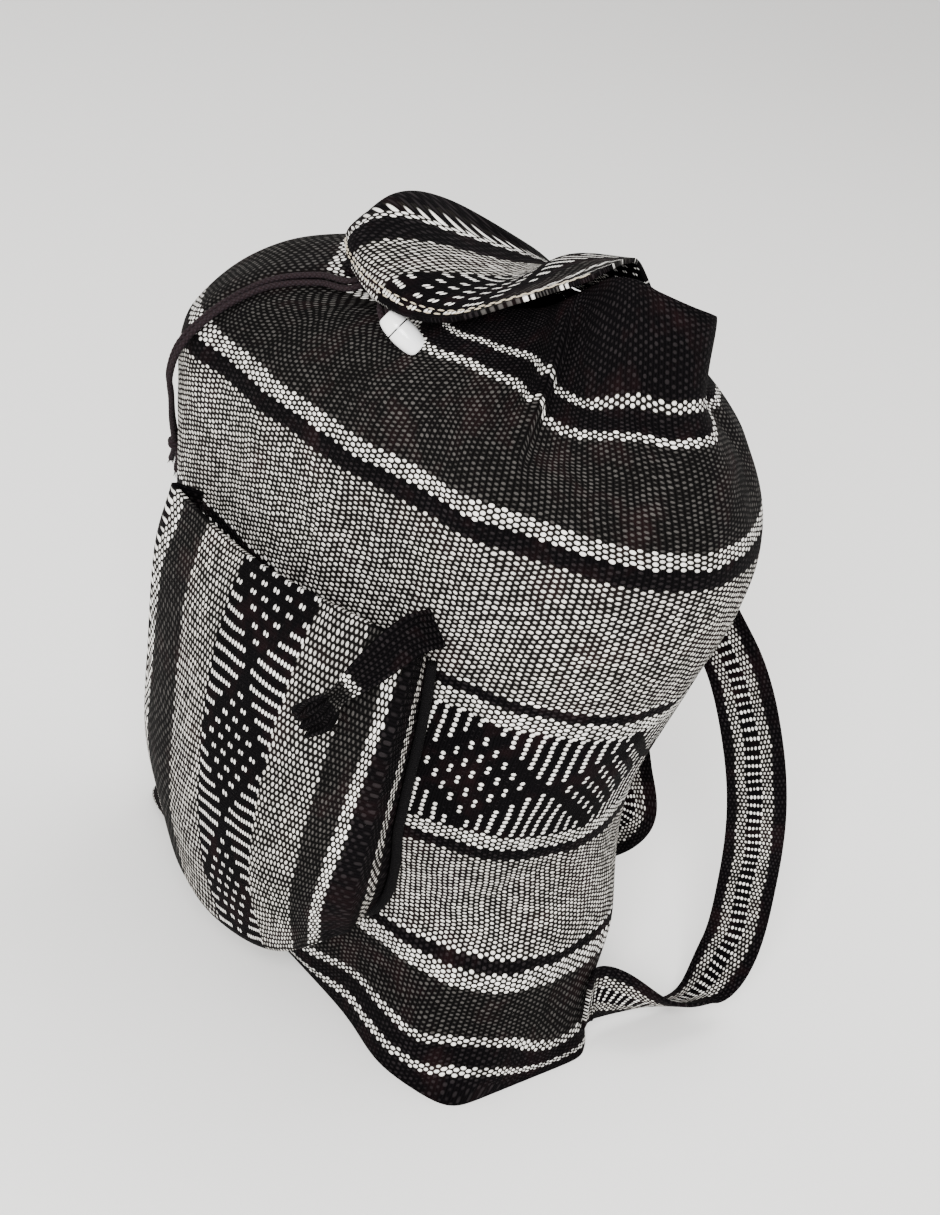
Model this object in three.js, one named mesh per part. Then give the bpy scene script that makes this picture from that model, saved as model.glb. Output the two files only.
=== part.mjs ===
// Drawstring backpack of striped handwoven cloth, in millimetres, +Z up.
// The front (with the pocket) faces -Y, +X is the right side seen from the front,
// and the flat base stands on z = 0.
import * as THREE from 'three';

// named sizes
const bagHeight = 440;      // base to the top of the mouth
const bagWidth = 338;       // across the shoulder
const bagDepth = 178;       // front to back at the shoulder
const clothWall = 2.4;      // body cloth
const pocketWall = 2.2;
const flapWall = 2.2;
const strapWidth = 32, strapThick = 2.4;
const cordDiameter = 3.2, cordPitch = 3.7;   // two strands lie side by side
const beadLength = 18, beadDiameter = 13, beadBore = 7.9;
const bindingDiameter = 4.2;
const seamGap = 0.45;       // sewn pieces stay this far apart

const columns = 64;         // facets round the body

// sections of the body
// cloth is the way up the cloth from the base seam. Widths, depths, centres and
// heights are shares of bagWidth, bagDepth and bagHeight; turn is the twist of the
// section in degrees, square its superellipse power, fold the depth of its gathers in mm.
const sections = [
  { name: 'base', cloth: 0.000, wide: 0.4527, deep: 0.3090, right: 0.0030, back: 0.0056, up: 0.0000,
    turn: -8.5, square: 9.0, fold: 0.0 },
  { name: 'hem', cloth: 0.0455, wide: 0.4497, deep: 0.3371, right: 0.0000, back: 0.0169, up: 0.0170,
    turn: -6.5, square: 5.0, fold: 0.0 },
  { name: 'low_grey', cloth: 0.1636, wide: 0.4379, deep: 0.4270, right: -0.0089, back: 0.0618, up: 0.1636,
    turn: -3.5, square: 2.9, fold: 0.5 },
  { name: 'waist', cloth: 0.3432, wide: 0.4112, deep: 0.4888, right: 0.0089, back: -0.0281, up: 0.3386,
    turn: -1.0, square: 2.7, fold: 1.0 },
  { name: 'mid_grey', cloth: 0.5523, wide: 0.4675, deep: 0.4944, right: 0.0266, back: -0.0225, up: 0.5455,
    turn: -1.5, square: 2.6, fold: 1.5 },
  { name: 'bulge', cloth: 0.6500, wide: 0.4970, deep: 0.5000, right: 0.0266, back: -0.0112, up: 0.6409,
    turn: -1.0, square: 2.6, fold: 1.5 },
  { name: 'shoulder', cloth: 0.7409, wide: 0.5000, deep: 0.5000, right: 0.0237, back: 0.0000, up: 0.7295,
    turn: -0.5, square: 2.6, fold: 2.0 },
  { name: 'upper', cloth: 0.8364, wide: 0.4201, deep: 0.4157, right: 0.0651, back: -0.0225, up: 0.8182,
    turn: -3.0, square: 2.5, fold: 3.0 },
  { name: 'neck', cloth: 0.9159, wide: 0.2959, deep: 0.2978, right: 0.1331, back: -0.0618, up: 0.8773,
    turn: -5.0, square: 2.4, fold: 4.0 },
  { name: 'rim', cloth: 1.0341, wide: 0.2663, deep: 0.1461, right: 0.1420, back: -0.1124, up: 0.9136,
    turn: -4.0, square: 2.2, fold: 3.0 },
];
const clothHeight = 1.0341 * bagHeight;
// waves of the gathers: how many round the bag, where they start, how strong
const gathers = [
  { count: 5, start: 0.13, share: 1.0 },
  { count: 8, start: 0.41, share: 0.7 },
  { count: 13, start: 0.07, share: 0.45 },
];
// rows of the shell, in mm of cloth from the base seam
const rowHeights = [
  0, 9, 20, 38, 60, 88, 120, 152, 186, 220, 252, 284, 310, 330, 346, 360, 373, 386, 398, 411, 425, 440,
  clothHeight
];

// small mathematics
const clamp = (x, lo, hi) => Math.min(Math.max(x, lo), hi);
const ease = (t) => {
  const k = clamp(t, 0, 1);
  return k * k * (3 - 2 * k);
};
const bump = (u, at, wide) => {
  const d = ((u - at + 0.5) % 1 + 1) % 1 - 0.5;
  return Math.exp(-((d / wide) ** 2));
};
const vec = (x, y, z) => new THREE.Vector3(x, y, z);

// smooth curve through (X, Y) at uneven steps
function through(x, X, Y) {
  const n = X.length;
  const slope = (k) => {
    if (k === 0) return (Y[1] - Y[0]) / (X[1] - X[0]);
    if (k === n - 1) return (Y[n - 1] - Y[n - 2]) / (X[n - 1] - X[n - 2]);
    const before = X[k] - X[k - 1], after = X[k + 1] - X[k];
    return ((Y[k + 1] - Y[k]) / after * before + (Y[k] - Y[k - 1]) / before * after) / (before + after);
  };
  let i = 0;
  while (i < n - 2 && x >= X[i + 1]) i++;
  const h = X[i + 1] - X[i], t = clamp((x - X[i]) / h, 0, 1);
  return (2 * t ** 3 - 3 * t * t + 1) * Y[i] + (t ** 3 - 2 * t * t + t) * h * slope(i)
    + (-2 * t ** 3 + 3 * t * t) * Y[i + 1] + (t ** 3 - t * t) * h * slope(i + 1);
}
const clothAt = sections.map((s) => s.cloth * bagHeight);
const columnOf = {
  wide: sections.map((s) => s.wide * bagWidth), deep: sections.map((s) => s.deep * bagDepth),
  right: sections.map((s) => s.right * bagWidth), back: sections.map((s) => s.back * bagDepth),
  up: sections.map((s) => s.up * bagHeight), turn: sections.map((s) => s.turn),
  square: sections.map((s) => s.square), fold: sections.map((s) => s.fold),
};
const sectionAt = (h) => Object.fromEntries(
  Object.entries(columnOf).map(([k, Y]) => [k, through(h, clothAt, Y)])
);

// superellipse walked at equal steps: u = 0 front, .25 right, .5 back, .75 left
const arcCache = new Map();
function arcOf(a, b, n) {
  const key = `${a.toFixed(4)},${b.toFixed(4)},${n.toFixed(4)}`;
  if (arcCache.has(key)) return arcCache.get(key);
  const N = 720, pts = [], run = [0];
  for (let k = 0; k <= N; k++) {
    const s = Math.sin(k / N * 2 * Math.PI), c = Math.cos(k / N * 2 * Math.PI);
    pts.push([a * Math.sign(s) * Math.abs(s) ** (2 / n), -b * Math.sign(c) * Math.abs(c) ** (2 / n)]);
    if (k) run.push(run[k - 1] + Math.hypot(pts[k][0] - pts[k - 1][0], pts[k][1] - pts[k - 1][1]));
  }
  const arc = { pts, run };
  arcCache.set(key, arc);
  return arc;
}
function onArc(u, { pts, run }) {
  const total = run[run.length - 1], want = (((u % 1) + 1) % 1) * total;
  let lo = 0, hi = run.length - 1;
  while (hi - lo > 1) {
    const m = (lo + hi) >> 1;
    if (run[m] <= want) lo = m;
    else hi = m;
  }
  const t = (want - run[lo]) / (run[hi] - run[lo] || 1);
  return [pts[lo][0] + (pts[hi][0] - pts[lo][0]) * t, pts[lo][1] + (pts[hi][1] - pts[lo][1]) * t];
}

// outer face of the body at u round the bag and h mm of cloth up from the base seam
export function bodyPoint(u, h) {
  const s = sectionAt(h), arc = arcOf(s.wide, s.deep, s.square);
  const [x, y] = onArc(u, arc), [x1, y1] = onArc(u + 1e-3, arc), [x0, y0] = onArc(u - 1e-3, arc);
  const L = Math.hypot(x1 - x0, y1 - y0) + 1e-9, nx = (y1 - y0) / L, ny = -(x1 - x0) / L;
  const top = ease((h - 330) / 75), rim = ease((h - 403) / 52);
  const low = ease((h - 2) / 18) * (1 - ease((h - 22) / 46)), foot = 1 - ease(h / 26);
  let out = gathers.reduce(
    (sum, g) => sum + g.share * Math.sin(2 * Math.PI * (g.count * u + g.start)), 0
  ) * s.fold;
  out += -8 * bump(u, 0.085, 0.018) * ease((h - 365) / 35) * (1 - 0.3 * rim);   // pleat right of the bead
  out += -3 * bump(u, 0.235, 0.020) * top + 12 * bump(u, 0.22, 0.08) * top * (1 - rim);
  // the mouth flares on the right
  out += 14 * bump(u, 0.22, 0.08) * rim;
  // pointed front corner of the base
  out += 6 * bump(u, 0.135, 0.035) * foot;
  // the cord draws a valley: level from the bead to the left front corner, then down that corner
  out += -7 * Math.exp(-(((h - 396) / 9) ** 2)) * ease((u - 0.84) / 0.04) * ease((0.985 - u) / 0.03);
  out += -6 * bump(u, 0.857, 0.014) * ease((h - 326) / 20) * (1 - ease((h - 396) / 16));
  const X = x + nx * out, Y = y + ny * out, t = s.turn * Math.PI / 180;
  const z = s.up + 32 * low * bump(u, 0.135, 0.055) + top * (1 - rim) * (
    6 * bump(u, 0.77, 0.07) - 7 * bump(u, 0.87, 0.04)
  ) + 44 * rim * bump(u, 0.20, 0.10);
  return vec(
    s.right + X * Math.cos(t) - Y * Math.sin(t), s.back + X * Math.sin(t) + Y * Math.cos(t), Math.max(z, 0)
  );
}

// mesh helpers
function meshOf(name, points, faces, colour) {
  const g = new THREE.BufferGeometry();
  g.setAttribute('position', new THREE.Float32BufferAttribute(points.flatMap((p) => [p.x, p.y, p.z]), 3));
  g.setIndex(faces.flat());
  g.computeVertexNormals();
  const m = new THREE.Mesh(g, new THREE.MeshStandardMaterial({ color: colour, side: THREE.DoubleSide }));
  m.name = name;
  return m;
}
// normals of a grid of points, rows of equal length, wrapped round when closed
function gridNormals(P, closed) {
  const R = P.length, C = P[0].length;
  return P.map((row, i) => row.map((p, j) => {
    const a = closed ? row[(j + 1) % C] : row[Math.min(j + 1, C - 1)];
    const b = closed ? row[(j + C - 1) % C] : row[Math.max(j - 1, 0)];
    const c = P[Math.min(i + 1, R - 1)][j], d = P[Math.max(i - 1, 0)][j];
    return a.clone().sub(b).cross(c.clone().sub(d)).normalize();
  }));
}
// a cloth of even thickness whose outer face is the open grid P
function sheetOf(name, P, wall, colour) {
  const R = P.length, C = P[0].length, N = gridNormals(P, false);
  const pts = [], at = (i, j, side) => side * R * C + i * C + j, faces = [];
  P.forEach((row) => row.forEach((p) => pts.push(p)));
  P.forEach((row, i) => row.forEach((p, j) => pts.push(p.clone().addScaledVector(N[i][j], -wall))));
  for (let i = 0; i < R - 1; i++) for (let j = 0; j < C - 1; j++) {
    const a = at(i, j, 0), b = at(i, j + 1, 0), c = at(i + 1, j + 1, 0), d = at(i + 1, j, 0), k = R * C;
    faces.push([a, b, c], [a, c, d], [a + k, c + k, b + k], [a + k, d + k, c + k]);
  }
  const rim = [];
  for (let j = 0; j < C - 1; j++) rim.push([at(0, j, 0), at(0, j + 1, 0)]);
  for (let i = 0; i < R - 1; i++) rim.push([at(i, C - 1, 0), at(i + 1, C - 1, 0)]);
  for (let j = C - 1; j > 0; j--) rim.push([at(R - 1, j, 0), at(R - 1, j - 1, 0)]);
  for (let i = R - 1; i > 0; i--) rim.push([at(i, 0, 0), at(i - 1, 0, 0)]);
  rim.forEach(([p, q]) => faces.push([q, p, p + R * C], [q, p + R * C, q + R * C]));
  return meshOf(name, pts, faces, colour);
}
// a strip or tube: sections of equal count joined end to end, with flat ends
function loftOf(name, rings, colour) {
  const n = rings[0].length, pts = rings.flat(), faces = [];
  for (let i = 0; i < rings.length - 1; i++) for (let j = 0; j < n; j++) {
    const a = i * n + j, b = i * n + (j + 1) % n;
    faces.push([a, b, b + n], [a, b + n, a + n]);
  }
  for (let j = 1; j < n - 1; j++) {
    faces.push([0, j + 1, j]);
    const e = (rings.length - 1) * n;
    faces.push([e, e + j, e + j + 1]);
  }
  return meshOf(name, pts, faces, colour);
}
const curveOf = (points) => new THREE.CatmullRomCurve3(points.map((p) => vec(...p)), false, 'centripetal');
// round cord along a route, as an extruded section with eight sides
function cordOf(name, route, radius, steps, colour) {
  const shape = new THREE.Shape();
  for (let k = 0; k < 8; k++) {
    const a = (k + 0.5) / 8 * 2 * Math.PI, x = radius * Math.cos(a), y = radius * Math.sin(a);
    if (k) shape.lineTo(x, y);
    else shape.moveTo(x, y);
  }
  shape.closePath();
  const g = new THREE.ExtrudeGeometry(
    shape, { steps, extrudePath: new THREE.CatmullRomCurve3(route, false, 'centripetal') }
  );
  const m = new THREE.Mesh(g, new THREE.MeshStandardMaterial({ color: colour }));
  m.name = name;
  return m;
}
// Catmull-Rom through a small grid of points, s across and t down
function patch(grid, s, t) {
  const at = (row, x) => {
    const n = row.length, k = clamp(x, 0, 1) * (n - 1), i = Math.min(Math.floor(k), n - 2), f = k - i;
    const g = (m) => {
      if (m < 0) return row[0].clone().multiplyScalar(2).sub(row[1]);
      if (m >= n) return row[n - 1].clone().multiplyScalar(2).sub(row[n - 2]);
      return row[m];
    };
    const [a, b, c, d] = [g(i - 1), g(i), g(i + 1), g(i + 2)];
    return b.clone().multiplyScalar(2).addScaledVector(c.clone().sub(a), f)
      .addScaledVector(a.clone().multiplyScalar(2).addScaledVector(b, -5).addScaledVector(c, 4).sub(d), f * f)
      .addScaledVector(
        d.clone().sub(a).addScaledVector(b, 3).addScaledVector(c, -3), f * f * f
      ).multiplyScalar(0.5);
  };
  return at(grid.map((row) => at(row, s)), t);
}
const gridOf = (rows) => rows.map(
  (row) => row.points.map(([x, y, z]) => vec(x * bagWidth, y * bagDepth, z * bagHeight))
);

// body
const bodyGrid = rowHeights.map((h) => Array.from({ length: columns }, (_, j) => bodyPoint(j / columns, h)));
function bodyShell() {
  const outer = bodyGrid, N = gridNormals(outer, true), R = outer.length, C = columns;
  const inner = outer.map((row, i) => row.map((p, j) => {
    const q = p.clone().addScaledVector(N[i][j], -clothWall);
    if (i < 2) {
      const n = N[2][j].clone().setZ(0).normalize();
      q.copy(p).addScaledVector(n, -clothWall * (i ? 1.05 : 1.3));
      q.z = i ? Math.max(p.z, clothWall + 1.2) : clothWall;
    }
    return q;
  }));
  const pts = [...outer.flat(), ...inner.flat()], k = R * C, faces = [];
  for (let i = 0; i < R - 1; i++) for (let j = 0; j < C; j++) {
    const a = i * C + j, b = i * C + (j + 1) % C, c = b + C, d = a + C;
    faces.push([a, b, c], [a, c, d], [a + k, c + k, b + k], [a + k, d + k, c + k]);
  }
  const t = (R - 1) * C;
  for (let j = 0; j < C; j++) {
    const a = t + j, b = t + (j + 1) % C;
    faces.push([a, b, b + k], [a, b + k, a + k]);
  }
  const mid = (z) => pts.push(vec(0, 0, z)) - 1;
  const under = mid(0), floor = mid(clothWall);
  for (let j = 0; j < C; j++) {
    const a = j, b = (j + 1) % C;
    faces.push([b, a, under], [a + k, b + k, floor]);
  }
  return meshOf('body', pts, faces, 0x3c3d3e);
}
// y of the body's front (or back, side = 1) at x, z, on its own facets
function wallAt(x, z, side = -1) {
  let best = null;
  for (let i = 0; i < bodyGrid.length - 1; i++) for (let j = 0; j < columns; j++) {
    const a = bodyGrid[i][j];
    const b = bodyGrid[i][(j + 1) % columns];
    const c = bodyGrid[i + 1][(j + 1) % columns];
    const d = bodyGrid[i + 1][j];
    for (const [p, q, r] of [[a, b, c], [a, c, d]]) {
      const den = (q.x - p.x) * (r.z - p.z) - (r.x - p.x) * (q.z - p.z);
      if (Math.abs(den) < 1e-9) continue;
      const s = ((x - p.x) * (r.z - p.z) - (r.x - p.x) * (z - p.z)) / den;
      const t = ((q.x - p.x) * (z - p.z) - (x - p.x) * (q.z - p.z)) / den;
      if (s < -1e-9 || t < -1e-9 || s + t > 1 + 1e-9) continue;
      const y = p.y + s * (q.y - p.y) + t * (r.y - p.y);
      if (best === null || (side < 0 ? y < best : y > best)) best = y;
    }
  }
  return best ?? 0;
}

// pocket
// its face, rows from the mouth down and points from left to right, as shares of
// bagWidth, bagDepth and bagHeight
const pocketFace = gridOf([
  { name: 'mouth',
    points: [
      [-0.260, -0.545, 0.582], [-0.118, -0.590, 0.577], [0.012, -0.618, 0.582], [0.148, -0.629, 0.595],
      [0.270, -0.584, 0.595]
    ] },
  { name: 'upper',
    points: [
      [-0.290, -0.528, 0.486], [-0.139, -0.629, 0.477], [-0.003, -0.674, 0.477], [0.142, -0.685, 0.482],
      [0.272, -0.618, 0.482]
    ] },
  { name: 'middle',
    points: [
      [-0.278, -0.528, 0.359], [-0.148, -0.640, 0.345], [-0.018, -0.697, 0.345], [0.130, -0.697, 0.350],
      [0.266, -0.618, 0.359]
    ] },
  { name: 'lower',
    points: [
      [-0.272, -0.506, 0.236], [-0.148, -0.618, 0.218], [-0.024, -0.674, 0.214], [0.118, -0.674, 0.223],
      [0.248, -0.596, 0.245]
    ] },
  { name: 'bottom',
    points: [
      [-0.231, -0.472, 0.136], [-0.124, -0.545, 0.100], [-0.012, -0.584, 0.091], [0.118, -0.584, 0.114],
      [0.222, -0.528, 0.186]
    ] },
]);
// where its side walls are sewn to the body, x and z as shares of bagWidth and bagHeight
const pocketFoot = {
  left: [[-0.243, 0.568], [-0.257, 0.480], [-0.254, 0.359], [-0.249, 0.250], [-0.213, 0.161]],
  right: [[0.257, 0.564], [0.260, 0.480], [0.252, 0.380], [0.234, 0.268], [0.205, 0.195]],
  bottom: [[-0.213, 0.161], [-0.118, 0.130], [-0.012, 0.120], [0.112, 0.142], [0.205, 0.195]],
};
function footAt(side, t, away) {
  const row = pocketFoot[side].map(([x, z]) => vec(x * bagWidth, 0, z * bagHeight));
  const p = patch([row, row], t, 0);
  return vec(p.x, wallAt(p.x, p.z) - away, p.z);
}
export function pocketGrid(across, down, side) {
  // columns: foot, side wall, face ..., side wall, foot; rows: face ..., then the bottom wall and its foot
  const grid = [];
  for (let i = 0; i <= down; i++) {
    const t = i / down, row = [];
    const L = patch(pocketFace, 0, t);
    const R = patch(pocketFace, 1, t);
    const fl = footAt('left', t, seamGap + pocketWall * 0.8);
    const fr = footAt('right', t, seamGap + pocketWall * 0.8);
    for (let k = 0; k < side; k++) row.push(fl.clone().lerp(L, k / side));
    for (let j = 0; j <= across; j++) row.push(patch(pocketFace, j / across, t));
    for (let k = 1; k <= side; k++) row.push(R.clone().lerp(fr, k / side));
    grid.push(row);
  }
  for (let k = 1; k <= side; k++) {
    const row = [], w = k / side, last = grid[down];
    for (let j = 0; j < last.length; j++) {
      const s = clamp((j - side) / across, 0, 1), f = footAt('bottom', s, seamGap + pocketWall * 0.8);
      row.push(last[j].clone().lerp(f, w));
    }
    grid.push(row);
  }
  return grid;
}
const pocket = () => sheetOf('pocket', pocketGrid(16, 12, 2), pocketWall, 0x8a8a88);

// piping beside the pocket's right and bottom seam
function pocketBinding() {
  const path = [], r = bindingDiameter / 2, off = r + pocketWall * 0.5 + 3.2;
  const push = (side, t, dx, dz) => {
    const row = pocketFoot[side].map(([x, z]) => vec(x * bagWidth, 0, z * bagHeight));
    const p = patch([row, row], t, 0);
    path.push(
      vec(p.x + dx * off, wallAt(p.x + dx * off, p.z + dz * off) - r - seamGap - 0.5, p.z + dz * off)
    );
  };
  for (let k = 0; k <= 8; k++) push('right', k / 10, 1, 0);
  push('right', 0.93, 0.95, -0.30);
  push('bottom', 0.98, 0.55, -0.83);
  for (let k = 1; k <= 8; k++) push('bottom', 0.93 - k / 8 * 0.90, 0.12, -1);
  return cordOf('pocket_binding', path, r, 40, 0x0d0c0f);
}

// closing tab: from the body above the pocket's right corner, over the mouth, down the face
const tabRoute = [
  { name: 'seam',   x: 0.270, z: 0.606, out: 4.5, wide: 22 },
  { name: 'mouth',  x: 0.268, z: 0.606, out: 20, wide: 24 },
  { name: 'over',   x: 0.256, z: 0.575, out: 38, wide: 23 },
  { name: 'waist',  x: 0.226, z: 0.534, out: 43, wide: 13 },
  { name: 'spread', x: 0.198, z: 0.500, out: 41.5, wide: 15 },
  { name: 'end',    x: 0.170, z: 0.472, out: 42, wide: 18 },
];
export function tabRings(steps) {
  const c = new THREE.CatmullRomCurve3(
    tabRoute.map(
      (q) => vec(q.x * bagWidth, wallAt(q.x * bagWidth, q.z * bagHeight) - q.out, q.z * bagHeight)
    ),
    false, 'centripetal'
  );
  const rings = [], thick = 2.4, X = tabRoute.map((_, i) => i);
  for (let i = 0; i <= steps; i++) {
    const t = i / steps;
    const p = c.getPoint(t);
    const dir = c.getTangent(t);
    const wide = through(t * (X.length - 1), X, tabRoute.map((q) => q.wide));
    const side = vec(0.72, 0.12, -0.62).addScaledVector(dir, -vec(0.72, 0.12, -0.62).dot(dir)).normalize();
    const out = dir.clone().cross(side).normalize();
    rings.push(
      [[-1, -1], [1, -1], [1, 1], [-1, 1]].map(
        ([a, b]) => p.clone().addScaledVector(side, a * wide / 2).addScaledVector(out, b * thick / 2)
      )
    );
  }
  return rings;
}
const pocketTab = () => loftOf('pocket_tab', tabRings(18), 0x2a2a2c);

// flap
// rows from its seam behind the mouth to the hem in front, points from left to right
const flapSeam = [0.680, 0.600, 0.520, 0.450, 0.400, 0.350];   // where it is sewn round the mouth, as u
const flapFace = [
  flapSeam.map((u) => bodyPoint(u, 436).addScaledVector(normalAt(u, 436), flapWall + 2.0)),
  flapSeam.map(
    (u) => bodyPoint(u, 452).addScaledVector(normalAt(u, 452), flapWall + 0.8).add(vec(0, 0, 5.5))
  ),
  ...gridOf([
    { name: 'rise',
      points: [
        [-0.124, -0.040, 0.936], [-0.075, -0.020, 0.952], [0.024, -0.010, 0.934], [0.118, -0.020, 0.934],
        [0.195, -0.020, 0.966], [0.290, -0.060, 0.990]
      ] },
    { name: 'crest',
      points: [
        [-0.130, -0.169, 0.938], [-0.086, -0.191, 0.962], [0.015, -0.191, 0.943], [0.124, -0.150, 0.934],
        [0.189, -0.145, 0.970], [0.302, -0.156, 1.004]
      ] },
    { name: 'fall',
      points: [
        [-0.124, -0.281, 0.922], [-0.071, -0.348, 0.932], [0.036, -0.371, 0.930], [0.142, -0.347, 0.930],
        [0.237, -0.291, 0.968], [0.320, -0.256, 1.010]
      ] },
    { name: 'hem',
      points: [
        [-0.112, -0.323, 0.909], [-0.041, -0.424, 0.907], [0.047, -0.469, 0.897], [0.148, -0.459, 0.911],
        [0.243, -0.392, 0.959], [0.320, -0.335, 1.002]
      ] },
  ]),
];
export const flapGrid = (across, down) => Array.from(
  { length: down + 1 },
  (_, i) => Array.from({ length: across + 1 }, (_, j) => patch(flapFace, j / across, i / down))
);
const flap = () => sheetOf('flap', flapGrid(20, 14).reverse(), flapWall, 0x55565a);

// drawstring
// the cord's route on the body: u, cloth height and distance of its centre line off the cloth
const cordRoute = [
  { name: 'out_of_the_cloth', u: 0.022, cloth: 390, off: 2.6 },
  { name: 'bead' },
  { name: 'valley_1', u: 0.915, cloth: 393, off: 15.0 },
  { name: 'valley_2', u: 0.874, cloth: 395, off: 11.5 },
  { name: 'valley_3', u: 0.852, cloth: 388, off: 4.6 },
  { name: 'valley_4', u: 0.855, cloth: 371, off: 4.0 },
  { name: 'valley_5', u: 0.857, cloth: 354, off: 3.6 },
  { name: 'shoulder', u: 0.858, cloth: 337, off: 3.4 },
  { name: 'side_1',   u: 0.856, cloth: 320, off: 3.6 },
  { name: 'side_2',   u: 0.849, cloth: 302, off: 5.5 },
  { name: 'side_3',   u: 0.838, cloth: 285, off: 3.8 },
  { name: 'side_4',   u: 0.825, cloth: 268, off: 3.8 },
  { name: 'knot_top', u: 0.812, cloth: 252, off: 5.0 },
];
const beadAt = bodyPoint(0.977, 391).addScaledVector(normalAt(0.990, 388), beadDiameter / 2 + 3.0);
const beadAxis = vec(-0.86, 0.10, 0.30).normalize();       // towards the free end of the cord
function normalAt(u, h) {
  const e = 4e-3;
  const a = bodyPoint(u + e, h).sub(bodyPoint(u - e, h));
  const b = bodyPoint(u, h + 3).sub(bodyPoint(u, h - 3));
  return a.cross(b).normalize();
}
function cordMiddle() {
  return cordRoute.flatMap((q) => {
    if (q.name === 'bead') return [-11, -4, 4, 11].map(
      (d) => ({ p: beadAt.clone().addScaledVector(beadAxis, d), n: vec(0, -0.8, 0.6) })
    );
    const n = normalAt(q.u, q.cloth);
    return [{ p: bodyPoint(q.u, q.cloth).addScaledVector(n, q.off), n }];
  });
}
export function strand(side) {
  const rows = cordMiddle(), mid = new THREE.CatmullRomCurve3(rows.map((r) => r.p), false, 'centripetal');
  const N = 64, pts = [];
  for (let i = 0; i <= N; i++) {
    const t = i / N, k = t * (rows.length - 1), j = Math.min(Math.floor(k), rows.length - 2);
    const n = rows[j].n.clone().lerp(rows[j + 1].n, k - j).normalize();
    const w = n.clone().cross(mid.getTangent(t)).normalize();
    pts.push(mid.getPoint(t).addScaledVector(w, side * cordPitch / 2));
  }
  return pts;
}
const cordEnd = () => {
  const r = cordMiddle(), c = new THREE.CatmullRomCurve3(r.map((q) => q.p), false, 'centripetal');
  return { p: c.getPoint(1), d: c.getTangent(1) };
};

// oval bead that both strands run through, with a groove round it a third of the way along
function bead() {
  const outer = [], R = beadDiameter / 2, b = beadBore / 2, L = beadLength / 2;
  const oval = (x) => b + 0.5 + (R - b - 0.5) * (1 - Math.abs(x / L) ** 2.6) ** 0.5;
  for (const x of [-1, -0.94, -0.8, -0.6, -0.35, 0, 0.24]) outer.push([oval(x * L), x * L]);
  outer.push([oval(0.28 * L) - 0.45, 0.30 * L], [oval(0.36 * L), 0.36 * L]);
  for (const x of [0.6, 0.8, 0.94, 1]) outer.push([oval(x * L), x * L]);
  const profile = [[b, -L], ...outer, [b, L], [b, -L]].map(([r, y]) => new THREE.Vector2(r, y));
  const m = new THREE.Mesh(
    new THREE.LatheGeometry(profile, 20), new THREE.MeshStandardMaterial({ color: 0xe8eaee })
  );
  m.quaternion.setFromUnitVectors(vec(0, 1, 0), beadAxis);
  m.position.copy(beadAt);
  m.name = 'bead';
  return m;
}
// the knot that joins the strands, and the two short tails below it
const knotSize = { long: 11, wide: 9.6 };
function knot() {
  const { p, d } = cordEnd(), profile = [];
  for (let k = 0; k <= 8; k++) {
    const a = k / 8 * Math.PI;
    profile.push(new THREE.Vector2(knotSize.wide / 2 * Math.sin(a), -knotSize.long / 2 * Math.cos(a)));
  }
  profile[0].x = 0;
  profile[8].x = 0;
  const m = new THREE.Mesh(
    new THREE.LatheGeometry(profile, 14), new THREE.MeshStandardMaterial({ color: 0x151214 })
  );
  m.quaternion.setFromUnitVectors(vec(0, 1, 0), d);
  m.position.copy(p).addScaledVector(d, knotSize.long / 2 + 0.4);
  m.name = 'drawstring_knot';
  return m;
}
function tail(name, side, bend) {
  const { p, d } = cordEnd();
  const w = vec(0.25, 0.9, 0.1).cross(d).normalize();
  const start = p.clone().addScaledVector(d, knotSize.long + 0.45);
  const at = (down, off, out) => start.clone().addScaledVector(d, down).addScaledVector(w, side * off).add(
    vec(-out, -out * 0.6, 0)
  );
  return cordOf(
    name, [at(0, 2.1, 0), at(7, 3.2, 1), at(14, 4.2 * bend, 2), at(21, 6 * bend, 2.5)], cordDiameter / 2, 8,
    0x151214
  );
}

// straps
// woven belts: centre line as shares of bagWidth, bagDepth and bagHeight, and the direction
// across the belt. A sewn end lies on the body, at u round it and cloth mm up it.
const strapRight = [
  { name: 'back_seam',  sewn: { u: 0.510, cloth: 374 }, lift: 0.5, across: [1.00, 0.00, 0.00] },
  { name: 'back_seam_2', sewn: { u: 0.508, cloth: 360 }, lift: 0.6, across: [1.00, 0.00, 0.00] },
  { name: 'upper_back', at: [0.148, 0.520, 0.755], across: [0.95, 0.10, 0.15] },
  { name: 'down_back',  at: [0.205, 0.590, 0.640], across: [0.90, 0.15, 0.30] },
  { name: 'hidden',     at: [0.298, 0.625, 0.525], across: [0.85, 0.25, 0.35] },
  { name: 'comes_out',  at: [0.386, 0.650, 0.450], across: [0.82, 0.40, 0.25] },
  { name: 'side_1',     at: [0.444, 0.650, 0.380], across: [0.80, 0.52, 0.12] },
  { name: 'side_2',     at: [0.482, 0.660, 0.300], across: [0.80, 0.58, 0.00] },
  { name: 'side_3',     at: [0.497, 0.690, 0.190], across: [0.80, 0.60, 0.00] },
  { name: 'low_bend',   at: [0.508, 0.665, 0.085], across: [0.82, 0.48, 0.20] },
  { name: 'floor_1',    at: [0.508, 0.560, 0.036], across: [0.85, 0.12, 0.45] },
  { name: 'floor_2',    at: [0.492, 0.390, 0.042], across: [0.72, -0.16, 0.62] },
  { name: 'low_seam_2', sewn: { u: 0.300, cloth: 42, upright: true }, lift: 1.8,
    across: [0.05, -0.10, 0.98] },
  { name: 'low_seam', sewn: { u: 0.285, cloth: 42, upright: true }, lift: 1.1,
    across: [0.00, -0.05, 0.99] },
];
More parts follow.
